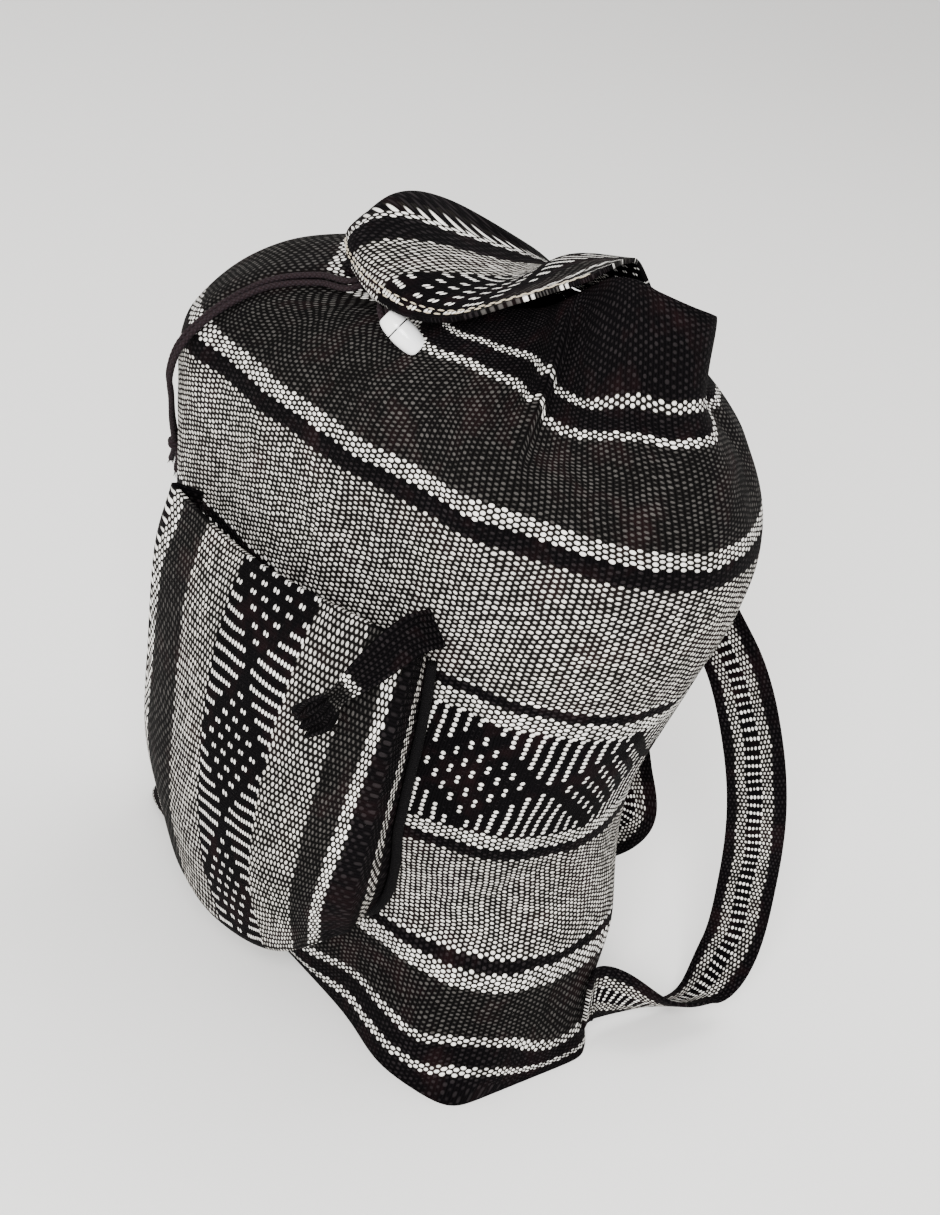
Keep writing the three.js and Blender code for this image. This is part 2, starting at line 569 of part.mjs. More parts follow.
const strapLeft = [
  { name: 'back_seam',  sewn: { u: 0.570, cloth: 374 }, lift: 0.4, across: [1.00, 0.00, 0.00] },
  { name: 'back_seam_2', sewn: { u: 0.568, cloth: 360 }, lift: 0.5, across: [1.00, 0.00, 0.00] },
  { name: 'upper_back', at: [-0.080, 0.565, 0.740], across: [1.00, 0.05, 0.00] },
  { name: 'down_1',     at: [-0.030, 0.63, 0.600], across: [0.95, 0.05, 0.25] },
  { name: 'down_2',     at: [0.080, 0.64, 0.460], across: [0.80, 0.05, 0.55] },
  { name: 'down_3',     at: [0.180, 0.63, 0.345], across: [0.60, 0.10, 0.75] },
  { name: 'bight_in',   at: [0.245, 0.61, 0.255], across: [0.75, 0.20, 0.60] },
  { name: 'bight',      at: [0.272, 0.61, 0.200], across: [0.95, 0.30, 0.10] },
  { name: 'bight_out',  at: [0.220, 0.64, 0.135], across: [0.60, 0.05, -0.75] },
  { name: 'back_1',     at: [0.120, 0.62, 0.090], across: [0.20, 0.00, -0.95] },
  { name: 'back_2',     at: [-0.120, 0.62, 0.065], across: [0.10, 0.00, -0.98] },
  { name: 'low_seam_2', sewn: { u: 0.628, cloth: 44, upright: true }, across: [0.00, 0.00, -1.00] },
  { name: 'low_seam',   sewn: { u: 0.648, cloth: 44, upright: true }, across: [0.00, 0.00, -1.00] },
];
// a sewn end lies flat on the cloth: along and across are taken over the belt's own width, and it clears
// the highest fold under it
function sewnSpot(r) {
  const s = sectionAt(r.sewn.cloth), girth = arcOf(s.wide, s.deep, s.square).run.at(-1);
  const half = strapWidth / 2, du = half / girth, upright = r.sewn.upright;
  const du2 = upright ? 0 : du;
  const dh = upright ? half : 0;
  const lu = upright ? du * 0.4 : 0;
  const lh = upright ? 0 : half * 0.4;
  const at = (a, b) => bodyPoint(r.sewn.u + a * du2 + b * lu, r.sewn.cloth + a * dh + b * lh);
  const across = at(1, 0).sub(at(-1, 0)).normalize(), along = at(0, 1).sub(at(0, -1)).normalize();
  const p = bodyPoint(r.sewn.u, r.sewn.cloth), n = across.clone().cross(along).normalize();
  if (n.dot(vec(p.x, p.y, 0)) < 0) n.negate();
  let high = 0;
  for (let i = -4; i <= 4; i++) {
    for (let j = -1; j <= 1; j++) high = Math.max(high, at(i / 4, j).sub(p).dot(n));
  }
  return { spot: p.addScaledVector(n, high + strapThick / 2 + seamGap + (r.lift ?? 0)), across };
}
export function strapRings(rows, steps) {
  const seats = rows.map(
    (r) => (
      r.sewn ? sewnSpot(r) : {
        spot: vec(r.at[0] * bagWidth, r.at[1] * bagDepth, r.at[2] * bagHeight), across: vec(...r.across)
      }
    )
  );
  const c = new THREE.CatmullRomCurve3(seats.map((q) => q.spot), false, 'centripetal');
  const across = seats.map(
    (q, i) => (q.across.dot(vec(...rows[i].across)) < 0 ? q.across.negate() : q.across)
  );
  const X = rows.map((_, i) => i), rings = [];
  for (let i = 0; i <= steps; i++) {
    const t = i / steps, k = t * (rows.length - 1), p = c.getPoint(t), dir = c.getTangent(t);
    const raw = vec(...['x', 'y', 'z'].map((a) => through(k, X, across.map((v) => v[a]))));
    const side = raw.addScaledVector(dir, -raw.dot(dir)).normalize();
    const out = dir.clone().cross(side).normalize();
    rings.push(
      [[-1, -1], [1, -1], [1, 1], [-1, 1]].map(
        ([a, b]) => p.clone().addScaledVector(
          side, a * strapWidth / 2
        ).addScaledVector(out, b * strapThick / 2)
      )
    );
  }
  return rings;
}

// assembly
const bag = new THREE.Group();
bag.name = 'bag';
bag.add(bodyShell(), pocket(), pocketBinding(), pocketTab(), flap());
bag.add(
  cordOf('drawstring_strand_a', strand(1), cordDiameter / 2, 48, 0x151214),
  cordOf('drawstring_strand_b', strand(-1), cordDiameter / 2, 48, 0x151214)
);
bag.add(bead(), knot(), tail('drawstring_tail_a', 1, 1.0), tail('drawstring_tail_b', -1, 0.7));
bag.add(
  loftOf('strap_right', strapRings(strapRight, 60), 0x6f6f70),
  loftOf('strap_left', strapRings(strapLeft, 60), 0x6f6f70)
);
export default bag;
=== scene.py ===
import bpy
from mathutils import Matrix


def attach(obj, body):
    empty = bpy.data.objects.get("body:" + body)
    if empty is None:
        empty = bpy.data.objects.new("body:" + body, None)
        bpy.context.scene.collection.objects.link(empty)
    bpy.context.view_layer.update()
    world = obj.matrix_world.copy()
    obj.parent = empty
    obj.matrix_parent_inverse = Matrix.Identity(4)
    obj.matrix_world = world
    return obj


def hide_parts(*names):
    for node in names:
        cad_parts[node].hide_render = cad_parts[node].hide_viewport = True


bl_info = {
    "name": "Woven drawstring backpack",
    "version": (1, 0, 0),
    "blender": (4, 5, 0),
    "location": "3D View > Sidebar > Backpack",
    "description": "Builds the cloth, cord and belts of a handwoven drawstring backpack on its packed frame",
    "category": "Object",
}

import math

import bpy
import numpy as np
from mathutils import Matrix, Vector

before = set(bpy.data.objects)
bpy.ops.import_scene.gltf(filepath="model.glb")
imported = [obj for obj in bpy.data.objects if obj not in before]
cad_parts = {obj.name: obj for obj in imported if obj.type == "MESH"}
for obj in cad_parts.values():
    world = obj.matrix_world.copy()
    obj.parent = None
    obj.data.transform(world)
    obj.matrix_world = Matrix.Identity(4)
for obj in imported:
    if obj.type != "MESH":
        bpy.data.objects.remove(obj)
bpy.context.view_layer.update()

# surfaces of the bag, in millimetres
# u runs round the bag (0 front, .25 right, .5 back, .75 left), h is the way up the cloth from the base seam
BAG_HEIGHT, BAG_WIDTH, BAG_DEPTH = 440.0, 338.0, 178.0
CLOTH_WALL, POCKET_WALL, FLAP_WALL = 2.4, 2.2, 2.2
STRAP_WIDTH, STRAP_THICK, SEAM_GAP = 32.0, 2.4, 0.45
CORD, CORD_PITCH = 3.2, 3.7
BEAD_LENGTH, BEAD_WIDE, BEAD_BORE, BEAD_GROOVE = 18.0, 13.0, 6.4, 2.95   # the groove lies off the middle
PICK, ROW = 3.45, 2.62      # threads of the cloth: along a stripe and across it
GIRTH = 264 * PICK          # cloth round the bag
# cloth, wide, deep, right, back, up, turn, square, fold
SECTIONS = np.array([
    (0.0000, 0.4527, 0.3090, 0.0030, 0.0056, 0.0000, -8.5, 9.0, 0.0),
    (0.0455, 0.4497, 0.3371, 0.0000, 0.0169, 0.0170, -6.5, 5.0, 0.0),
    (0.1636, 0.4379, 0.4270, -0.0089, 0.0618, 0.1636, -3.5, 2.9, 0.5),
    (0.3432, 0.4112, 0.4888, 0.0089, -0.0281, 0.3386, -1.0, 2.7, 1.0),
    (0.5523, 0.4675, 0.4944, 0.0266, -0.0225, 0.5455, -1.5, 2.6, 1.5),
    (0.6500, 0.4970, 0.5000, 0.0266, -0.0112, 0.6409, -1.0, 2.6, 1.5),
    (0.7409, 0.5000, 0.5000, 0.0237, 0.0000, 0.7295, -0.5, 2.6, 2.0),
    (0.8364, 0.4201, 0.4157, 0.0651, -0.0225, 0.8182, -3.0, 2.5, 3.0),
    (0.9159, 0.2959, 0.2978, 0.1331, -0.0618, 0.8773, -5.0, 2.4, 4.0),
    (1.0341, 0.2663, 0.1461, 0.1420, -0.1124, 0.9136, -4.0, 2.2, 3.0),
]) * np.array([BAG_HEIGHT, BAG_WIDTH, BAG_DEPTH, BAG_WIDTH, BAG_DEPTH, BAG_HEIGHT, 1, 1, 1])
CLOTH_TOP = float(SECTIONS[-1, 0])
CORNER_AT, FLARE_AT = 0.135, 0.22      # u of the base's front corner and of the flare of the mouth
RING_STEPS = 720            # steps in which a section's outline is walked
# waves of the gathers: how many round the bag, start, share of the section's fold
GATHERS = ((5, 0.13, 1.0), (8, 0.41, 0.7), (13, 0.07, 0.45))


def ease(t):
    k = np.clip(t, 0, 1)
    return k * k * (3 - 2 * k)


def lengths(points):
    """Length along a line of points, from 0."""
    return np.concatenate([[0], np.cumsum(np.linalg.norm(np.diff(points, axis=0), axis=1))])


def crossed(u, v):
    """Grid of (u, v) from one value for each column and one for each row."""
    return np.stack(np.broadcast_arrays(u, v), -1)


def bump(u, at, wide):
    d = np.mod(u - at + 0.5, 1) - 0.5
    return np.exp(-((d / wide) ** 2))


def through(x, X, Y):
    """Smooth curve through (X, Y) at uneven steps, at one x or many."""
    X, Y = np.asarray(X, float), np.asarray(Y, float)
    gap = np.diff(X)
    rise = np.diff(Y) / gap
    slope = np.concatenate(
        [rise[:1], (rise[1:] * gap[:-1] + rise[:-1] * gap[1:]) / (gap[:-1] + gap[1:]), rise[-1:]]
    )
    i = np.clip(np.searchsorted(X, x, side="right") - 1, 0, len(X) - 2)
    h = gap[i]
    t = np.clip((x - X[i]) / h, 0, 1)
    return (
        (2 * t**3 - 3 * t * t + 1) * Y[i] + (t**3 - 2 * t * t + t) * h * slope[i]
        + (3 * t * t - 2 * t**3) * Y[i + 1] + (t**3 - t * t) * h * slope[i + 1]
    )


# at, wide, low, high, lean per 100 mm of cloth, deep
FOLDS = (
    (0.112, 0.007, 372, 452, 0.01, 3.2),
    (0.123, 0.006, 366, 452, 0.01, -2.8),
    (0.160, 0.016, 350, 452, 0.01, 2.0),
    (0.045, 0.012, 345, 420, -0.03, -1.6),
    (0.200, 0.010, 330, 440, 0.02, -2.0),
    (0.300, 0.012, 350, 452, -0.01, -3.0),
    (0.350, 0.014, 345, 452, 0.01, 2.6),
    (0.410, 0.012, 350, 452, 0.02, -3.0),
    (0.480, 0.012, 352, 452, -0.02, -2.4),
    (0.640, 0.012, 352, 452, 0.02, -2.4),
    (0.700, 0.012, 345, 452, 0.00, -2.6),
    (0.215, 0.012, 90, 190, -0.05, -1.6),
    (0.175, 0.010, 60, 150, 0.09, -1.4),
    (0.235, 0.009, 150, 300, 0.02, -1.2),
)
# small waves: how many round the bag, drift with height, start, deep
PUCKERS = ((6, 31, 0.2, 0.5), (11, -23, 1.7, 0.35), (17, 17, 3.1, 0.25), (29, -12, 0.6, 0.15))
FOLD_END, PUCKER_START = 26, 30     # cloth over which a fold fades, and above which the waves are full


def relief(u, h):
    """Small folds and puckers of the slack cloth, in mm out of the surface."""
    out = np.zeros_like(u)
    for at, wide, low, high, lean, deep in FOLDS:
        m = (low + high) / 2
        along = ease((h - low) / FOLD_END) * ease((high - h) / FOLD_END)
        out = out + deep * bump(u, at + lean * (h - m) / 100, wide) * along
    for count, drift, start, deep in PUCKERS:
        out = out + deep * np.sin(2 * math.pi * count * u + h / drift + start) * ease(h / PUCKER_START)
    return out


def outline(wide, deep, square):
    """A section's superellipse from the front round by the right, and the length along it."""
    a = np.linspace(0, 2 * math.pi, RING_STEPS + 1)
    s, c = np.sin(a), np.cos(a)
    X = wide * np.sign(s) * np.abs(s) ** (2 / square)
    Y = -deep * np.sign(c) * np.abs(c) ** (2 / square)
    return X, Y, lengths(np.stack([X, Y], -1))


def body_row(u, h, slack=0.0):
    """Outer face of the sack at many u on one height of cloth."""
    u = np.asarray(u, float)
    wide, deep, right, back, up, turn, square, fold = (
        through(h, SECTIONS[:, 0], SECTIONS[:, k]) for k in range(1, 9)
    )
    X, Y, run = outline(wide, deep, square)
    spot = lambda v: (np.interp(np.mod(v, 1) * run[-1], run, X), np.interp(np.mod(v, 1) * run[-1], run, Y))
    x, y = spot(u)
    step = 1e-3 if slack == 0 else 3e-3
    (x1, y1), (x0, y0) = spot(u + step), spot(u - step)
    L = np.hypot(x1 - x0, y1 - y0) + 1e-9
    nx, ny = (y1 - y0) / L, -(x1 - x0) / L
    top, rim = ease((h - 330) / 75), ease((h - 403) / 52)
    low, foot = ease((h - 2) / 18) * (1 - ease((h - 22) / 46)), 1 - ease(h / 26)
    out = sum(k * np.sin(2 * math.pi * (n * u + q)) for n, q, k in GATHERS) * fold
    # pleat right of the bead
    out = out - 8 * bump(u, 0.085, 0.018) * ease((h - 365) / 35) * (1 - 0.3 * rim)
    # the mouth flares on the right, and the front corner of the base is pointed
    out = out - 3 * bump(u, 0.235, 0.020) * top + 12 * bump(u, FLARE_AT, 0.08) * top * (1 - rim)
    out = out + 14 * bump(u, FLARE_AT, 0.08) * rim + 6 * bump(u, CORNER_AT, 0.035) * foot
    # the drawstring's channel on the left, and the groove in which its ends hang
    v = np.mod(u, 1)
    out = out - 7 * math.exp(-(((h - 396) / 9) ** 2)) * ease((v - 0.84) / 0.04) * ease((0.985 - v) / 0.03)
    out = out - 6 * bump(u, 0.857, 0.014) * ease((h - 326) / 20) * (1 - ease((h - 396) / 16))
    if slack:
        out = out + slack * relief(u, np.full_like(u, h))
    px, py, t = x + nx * out, y + ny * out, math.radians(float(turn))
    z = up + 32 * low * bump(u, CORNER_AT, 0.055) + top * (1 - rim) * (
        6 * bump(u, 0.77, 0.07) - 7 * bump(u, 0.87, 0.04)
    ) + 44 * rim * bump(u, 0.20, 0.10)
    return np.stack(
        [right + px * math.cos(t) - py * math.sin(t), back + px * math.sin(t) + py * math.cos(t),
            np.maximum(z, 0)],
        -1
    )


def body_point(u, h):
    return body_row([u], h)[0]


def unit(v):
    return v / (np.linalg.norm(v, axis=-1, keepdims=True) + 1e-12)


def body_normal(u, h):
    a = body_point(u + 4e-3, h) - body_point(u - 4e-3, h)
    return unit(np.cross(a, body_point(u, h + 3) - body_point(u, h - 3)))


def route(points, t):
    """Centripetal curve through the points, at t from 0 to 1."""
    P = np.asarray(points, float)
    P = np.vstack([2 * P[0] - P[1], P, 2 * P[-1] - P[-2]])
    n = len(P) - 2
    k = np.clip(np.asarray(t, float), 0, 1) * (n - 1)
    i = np.minimum(k.astype(int), n - 2)
    w = (k - i)[:, None]
    p0, p1, p2, p3 = P[i], P[i + 1], P[i + 2], P[i + 3]
    d = lambda a, b: np.sqrt(np.linalg.norm(a - b, axis=1))[:, None]
    d1 = np.maximum(d(p1, p2), 1e-4)
    d0, d2 = np.maximum(d(p0, p1), 1e-4), np.maximum(d(p2, p3), 1e-4)
    a = ((p1 - p0) / d0 - (p2 - p0) / (d0 + d1) + (p2 - p1) / d1) * d1
    b = ((p2 - p1) / d1 - (p3 - p1) / (d1 + d2) + (p3 - p2) / d2) * d1
    return p1 + a * w + (3 * p2 - 3 * p1 - 2 * a - b) * w**2 + (2 * p1 - 2 * p2 + a + b) * w**3


def direction(points, t):
    return unit(route(points, np.clip(t + 1e-3, 0, 1)) - route(points, np.clip(t - 1e-3, 0, 1)))


def row_curve(rows, x):
    """Catmull-Rom through equal steps of the first axis, at x from 0 to 1."""
    R = np.asarray(rows, float)
    n = len(R)
    R = np.concatenate([2 * R[:1] - R[1:2], R, 2 * R[-1:] - R[-2:-1]])
    k = np.clip(np.asarray(x, float), 0, 1) * (n - 1)
    i = np.minimum(k.astype(int), n - 2)
    f = (k - i).reshape((-1,) + (1,) * (R.ndim - 1))
    a, b, c, d = R[i], R[i + 1], R[i + 2], R[i + 3]
    return 0.5 * (2 * b + (c - a) * f + (2 * a - 5 * b + 4 * c - d) * f**2 + (d - a + 3 * b - 3 * c) * f**3)


def patch(grid, s, t):
    """Grid of points (rows, columns, 3) made fine: rows at t, columns at s."""
    rows = row_curve(grid, t)
    return np.swapaxes(row_curve(np.swapaxes(rows, 0, 1), s), 0, 1)


def shares(rows):
    return np.array(rows, float) * np.array([BAG_WIDTH, BAG_DEPTH, BAG_HEIGHT])


# the sack's facets as the frame has them, so that what is sewn on lies where its solid lies
ROW_HEIGHTS = (
    0, 9, 20, 38, 60, 88, 120, 152, 186, 220, 252, 284, 310, 330, 346, 360, 373, 386, 398, 411, 425, 440,
    CLOTH_TOP
)
FACETS = np.stack([body_row(np.arange(64) / 64, h) for h in ROW_HEIGHTS])


def wall_at(x, z):
    """y of the sack's front at x, z, on its facets."""
    a, d = FACETS[:-1], FACETS[1:]
    b, c = np.roll(a, -1, 1), np.roll(d, -1, 1)
    best = None
    for p, q, r in ((a, b, c), (a, c, d)):
        den = (
            (q[..., 0] - p[..., 0]) * (r[..., 2] - p[..., 2])
            - (r[..., 0] - p[..., 0]) * (q[..., 2] - p[..., 2])
        )
        den = np.where(np.abs(den) < 1e-9, np.nan, den)
        s = ((x - p[..., 0]) * (r[..., 2] - p[..., 2]) - (r[..., 0] - p[..., 0]) * (z - p[..., 2])) / den
        t = ((q[..., 0] - p[..., 0]) * (z - p[..., 2]) - (x - p[..., 0]) * (q[..., 2] - p[..., 2])) / den
        y = p[..., 1] + s * (q[..., 1] - p[..., 1]) + t * (r[..., 1] - p[..., 1])
        y = np.where((s > -1e-9) & (t > -1e-9) & (s + t < 1 + 1e-9), y, np.nan)
        if np.isfinite(y).any():
            low = float(np.nanmin(y))
            best = low if best is None else min(best, low)
    return best if best is not None else 0.0


# finishes
# how far apart the grains of the finishes lie, in mm; the fuzz of spun cotton and the grain of paper are
# really about 0.02 mm wide, too fine to show, and are drawn as coarse as the picture needs
WANDER_EVERY, FUZZ, WEAR, TINT = 23.81, 0.5263, 62.5, 30.3      # woven cloth
CORD_LAY, CORD_FUZZ = 3.2258, 1.111     # cord, whose strands cross twice in a lay
GLASS_CLOUD, THREAD_PLY, TAPE_FUZZ, PAPER_GRAIN = 6.25, 0.3846, 1.4286, 3.3333


def linear(code):
    """sRGB hex as linear red, green, blue and alpha."""
    part = [int(code[k : k + 2], 16) / 255 for k in (1, 3, 5)]
    return tuple([x / 12.92 if x <= 0.04045 else ((x + 0.055) / 1.055) ** 2.4 for x in part] + [1.0])


def grains(size):
    """Scale of a noise from the size of its grains in mm, on cloth or in space that is in metres."""
    return 1000 / size


def add(tree, kind, inputs=(), **settings):
    """Adds a shader node by its kind and operation, such as Math ADD, with its settings.

    An input is a number, a colour, or a node or output to link.
    """
    kind, *operation = kind.split()
    made = tree.nodes.new("ShaderNode" + kind)
    if operation:
        made.operation = operation[0]
    for name, value in settings.items():
        setattr(made, name, value)
    for name, value in dict(inputs if isinstance(inputs, dict) else enumerate(inputs)).items():
        if isinstance(value, bpy.types.Node):
            value = value.outputs[0]
        if isinstance(value, bpy.types.NodeSocket):
            tree.links.new(value, made.inputs[name])
        else:
            made.inputs[name].default_value = value
    return made


def off_middle(tree, value):
    """Squared distance from the middle of the cell that a value lies in."""
    return add(tree, "Math POWER", [add(tree, "Math SUBTRACT", [add(tree, "Math FRACT", [value]), 0.5]), 2.0])


def new_finish(name, viewport):
    finish = bpy.data.materials.new(name)
    finish.use_nodes = True
    finish.diffuse_color = viewport
    tree = finish.node_tree
    tree.nodes.clear()
    return finish, tree


def close_finish(tree, colour, rough, bump, **more):
    """Ends a finish with its shader; bump is its strength, how far it stands out in metres, and height."""
    bumps = add(tree, "Bump", dict(zip(("Strength", "Distance", "Height"), bump)))
    inputs = {key.replace("_", " "): value for key, value in more.items()}
    inputs.update({"Base Color": colour, "Roughness": rough, "Normal": bumps})
    add(tree, "OutputMaterial", {"Surface": add(tree, "BsdfPrincipled", inputs)})


def lay_stripes(ramp, table):
    """Fills a stepped ramp over the cloth's rows: their count, colour, and a number for its alpha."""
    total = sum(count for count, _, _ in table)
    ramp.color_ramp.interpolation = "CONSTANT"
    stops, at = ramp.color_ramp.elements, 0
    while len(stops) < len(table):
        stops.new(1.0)
    for k, (count, colour, number) in enumerate(table):
        stops[k].position = at / total
        stops[k].color = (*colour[:3], number)
        at += count
    return ramp


# the weave
WANDER = 0.0032             # how far the noise pushes a thread off its line, in metres
DOT_NARROW, DOT_LOW = 4.3, 6.6          # how fast a dot falls off along and across its stripe
DOT_SPREAD, DOT_CUT = 0.24, 0.14        # random part of a dot's size, and what is taken off first
DOT_SHADED_BELOW = 0.62             # height at which a dot has wholly its own colour; below it the dot fades into the ground, painted shade round its edge that leaves its middle looking lit
DASH_NARROW, DASH_LOW = 21.0, 5.2       # how fast a figure's dash falls off along and across
FIGURE_ROWS, FIGURE_PERIOD = 24.0, 12.0     # rows of dashes in the band, columns from figure to figure


def figure_dashes(tree, along, across, first, count):
    """Height of the dashes of a figured band that starts at row first and is count rows wide."""
    rank = add(
        tree, "Math MULTIPLY", [add(tree, "Math SUBTRACT", [across, float(first)]), FIGURE_ROWS / count]
    )
    row = add(tree, "Math FLOOR", [rank])
    edge = add(tree, "Math MINIMUM", [row, add(tree, "Math SUBTRACT", [FIGURE_ROWS - 1, row])])
    inside = add(tree, "Math SUBTRACT", [FIGURE_ROWS / 2 - 1, edge])
    # a dash stands on every second pick; steps counts its columns from the middle of a figure
    column = add(tree, "Math DIVIDE", [along, 2.0])
    number = add(tree, "Math FLOOR", [add(tree, "Math ADD", [column, -1.0])])
    turn = add(tree, "Math FLOORED_MODULO", [number, FIGURE_PERIOD])
    turn = add(tree, "Math SUBTRACT", [turn, FIGURE_PERIOD / 2])
    steps = add(tree, "Math ABSOLUTE", [turn])
    # stacks grow from both edges of the band
    tall = add(tree, "Math MINIMUM", [add(tree, "Math MULTIPLY", [steps, 2.0]), FIGURE_ROWS / 2 - 1])
    stack = add(tree, "Math LESS_THAN", [edge, tall])
    # between them lies a diamond of dashes in pairs, staggered from column to column
    reach = add(tree, "Math MULTIPLY_ADD", [steps, -2.0, 9.0])
    pair = add(tree, "Math FLOOR", [add(tree, "Math DIVIDE", [add(tree, "Math ADD", [inside, 1.0]), 2.0])])
    parities = [add(tree, "Math FLOORED_MODULO", [value, 2.0]) for value in (pair, steps)]
    same = add(tree, "Math COMPARE", [*parities, 0.1])
    diamond = add(tree, "Math MULTIPLY", [add(tree, "Math LESS_THAN", [inside, reach]), same])
    on = add(tree, "Math MAXIMUM", [stack, diamond])
    within = add(tree, "Math MULTIPLY", [add(tree, "Math GREATER_THAN", [edge, -0.5]), on])
    high = add(tree, "Math MULTIPLY", [off_middle(tree, rank), DASH_LOW])
    wide = add(tree, "Math MULTIPLY", [off_middle(tree, column), DASH_NARROW])
    dash = add(tree, "Math SUBTRACT", [1.0, add(tree, "Math ADD", [high, wide])])
    return add(tree, "Math MULTIPLY", [dash, within])


def woven_cloth(name, stripes, figured=None, pick=None, row=None):
    """Handwoven cotton in stripes; each visible dot is one thread where it passes over the next."""
    sizes, colours = bpy.context.scene.backpack_sizes, bpy.context.scene.backpack_colours
    pick, row = pick or sizes.pick, row or sizes.row
    own = {key: tuple(getattr(colours, key)) for key in ("black", "charcoal", "light", "white")}
    # dots: colour and size; ground: colour, and 1 where only every second column of dots shows; the dark dots
    # of the black and figured bands are paler than their black ground, a painted highlight on the raised
    # thread ends
    dots = {
        "black": (linear("#1b1819"), 0.84), "charcoal": (own["charcoal"], 0.84),
        "light": (own["light"], 0.90), "white": (own["white"], 1.0),
        "sparse": (own["white"], 1.0), "figured": (linear("#1b1819"), 0.5),
    }
    ground = {"charcoal": linear("#080707"), "light": linear("#131110"), "white": linear("#151311")}
    total = sum(n for n, _ in stripes)
    finish, tree = new_finish(name, own["charcoal"])
    cloth = add(tree, "UVMap", uv_map="cloth")
    # the thread wanders by half a millimetre, as it does off a hand loom
    wander = add(
        tree, "TexNoise", {"Vector": cloth, "Scale": grains(WANDER_EVERY), "Detail": 1.5},
        noise_dimensions="2D"
    )
    offset = add(tree, "VectorMath SUBTRACT", [wander.outputs["Color"], (0.5, 0.5, 0.5)])
    place = add(tree, "VectorMath MULTIPLY_ADD", [offset, (WANDER, WANDER, 0.0), cloth])
    part = add(tree, "SeparateXYZ", [place])
    along = add(tree, "Math DIVIDE", [part.outputs[0], pick])
    across = add(tree, "Math DIVIDE", [part.outputs[1], row])
    # every second column of dots stands half a row lower
    number = add(tree, "Math FLOOR", [along])
    odd = add(tree, "Math FLOORED_MODULO", [number, 2.0])
    lifted = add(tree, "Math MULTIPLY_ADD", [odd, 0.5, across])
    line = add(tree, "Math FLOOR", [lifted])
    share = add(tree, "Math DIVIDE", [add(tree, "Math ADD", [line, 0.5]), float(total)])
    over = lay_stripes(add(tree, "ValToRGB", [share]), [(n, *dots[kind]) for n, kind in stripes])
    table = [(n, ground.get(kind, own["black"]), 1.0 if kind == "sparse" else 0.0) for n, kind in stripes]
    under = lay_stripes(add(tree, "ValToRGB", [share]), table)
    # every thread end differs a little in size and shade
    cell = add(tree, "CombineXYZ", [number, line])
    chance = add(tree, "TexWhiteNoise", {"Vector": cell}, noise_dimensions="2D")
    least = add(tree, "Math SUBTRACT", [over.outputs["Alpha"], DOT_CUT])
    size = add(tree, "Math MULTIPLY_ADD", [chance, DOT_SPREAD, least])
    narrow = add(tree, "Math MULTIPLY", [off_middle(tree, along), DOT_NARROW])
    far = add(tree, "Math MULTIPLY_ADD", [off_middle(tree, lifted), DOT_LOW, narrow])
    dome = add(tree, "Math SUBTRACT", [add(tree, "Math POWER", [size, 2.0]), far])
    skip = add(tree, "Math MULTIPLY", [odd, under.outputs["Alpha"]])
    dome = add(tree, "Math MULTIPLY", [dome, add(tree, "Math SUBTRACT", [1.0, skip])])
    shade = over.outputs["Color"]
    if figured:
        dash = figure_dashes(tree, along, across, *figured)
        lit = add(tree, "Math GREATER_THAN", [dash, 0.0])
        shade = add(tree, "Mix", {0: lit, 6: shade, 7: own["white"]}, data_type="RGBA").outputs[2]
        dome = add(tree, "Math MAXIMUM", [dome, dash])
    dome = add(tree, "Math MAXIMUM", [dome, 0.0])
    # painted shade and highlight: each dot is bright in its middle and fades to the dark ground at its edge
    dot_and_painted_shade = add(tree, "MapRange", {"Value": dome, "From Max": DOT_SHADED_BELOW}, interpolation_type="SMOOTHSTEP")
    # ribs of the threads beneath, also painted into the ground's colour as shade between them and highlight
    # on them, and the fuzz of spun cotton
    turn = add(tree, "Math MULTIPLY", [along, 2 * math.pi])
    ribs = add(tree, "Math ABSOLUTE", [add(tree, "Math SINE", [turn])])
    fuzz = add(
        tree, "TexNoise", {"Vector": cloth, "Scale": grains(FUZZ), "Detail": 3.0, "Roughness": 0.65},
        noise_dimensions="2D"
    )
    worn = add(
        tree, "TexNoise", {"Vector": cloth, "Scale": grains(WEAR), "Detail": 4.0}, noise_dimensions="2D"
    )
    tint = add(
        tree, "TexNoise", {"Vector": cloth, "Scale": grains(TINT), "Detail": 3.0, "Roughness": 0.7},
        noise_dimensions="2D"
    )
    # painted shade and highlight: the ground is darker in the grooves between the ribs and paler on their
    # crests
    dark = add(tree, "MapRange", {"Value": ribs, "To Min": 0.30, "To Max": 1.30})
    base = add(tree, "VectorMath SCALE", {0: under.outputs["Color"], "Scale": dark})
    lively = add(tree, "MapRange", {"Value": chance, "To Min": 0.70, "To Max": 1.16})
    light = add(tree, "VectorMath SCALE", {0: shade, "Scale": lively})
    colour = add(tree, "Mix", {0: dot_and_painted_shade, 6: base, 7: light}, data_type="RGBA").outputs[2]
    # dusty and red-brown fibres that a dark cotton picks up
    red = add(tree, "MapRange", {"Value": tint, "From Min": 0.52, "From Max": 0.74, "To Max": 0.06})
    colour = add(tree, "Mix", {0: red, 6: colour, 7: linear("#4b2a2c")}, data_type="RGBA").outputs[2]
    aged = add(
        tree, "MapRange", {"Value": worn, "From Min": 0.3, "From Max": 0.7, "To Min": 0.80, "To Max": 1.12}
    )
    hairy = add(
        tree, "MapRange",
        {"Value": fuzz, "From Min": 0.25, "From Max": 0.75, "To Min": 0.78, "To Max": 1.22}
    )
    colour = add(tree, "VectorMath SCALE", {0: colour, "Scale": add(tree, "Math MULTIPLY", [aged, hairy])})
    tall, deep = add(tree, "Math POWER", [dome, 0.5]), add(tree, "Math MULTIPLY", [ribs, 0.30])
    height = add(tree, "Math MULTIPLY_ADD", [fuzz, 0.16, add(tree, "Math MAXIMUM", [tall, deep])])
    close_finish(tree, colour, 0.86, (0.9, sizes.yarn, height), IOR=1.45, Specular_IOR_Level=0.04)
    return finish


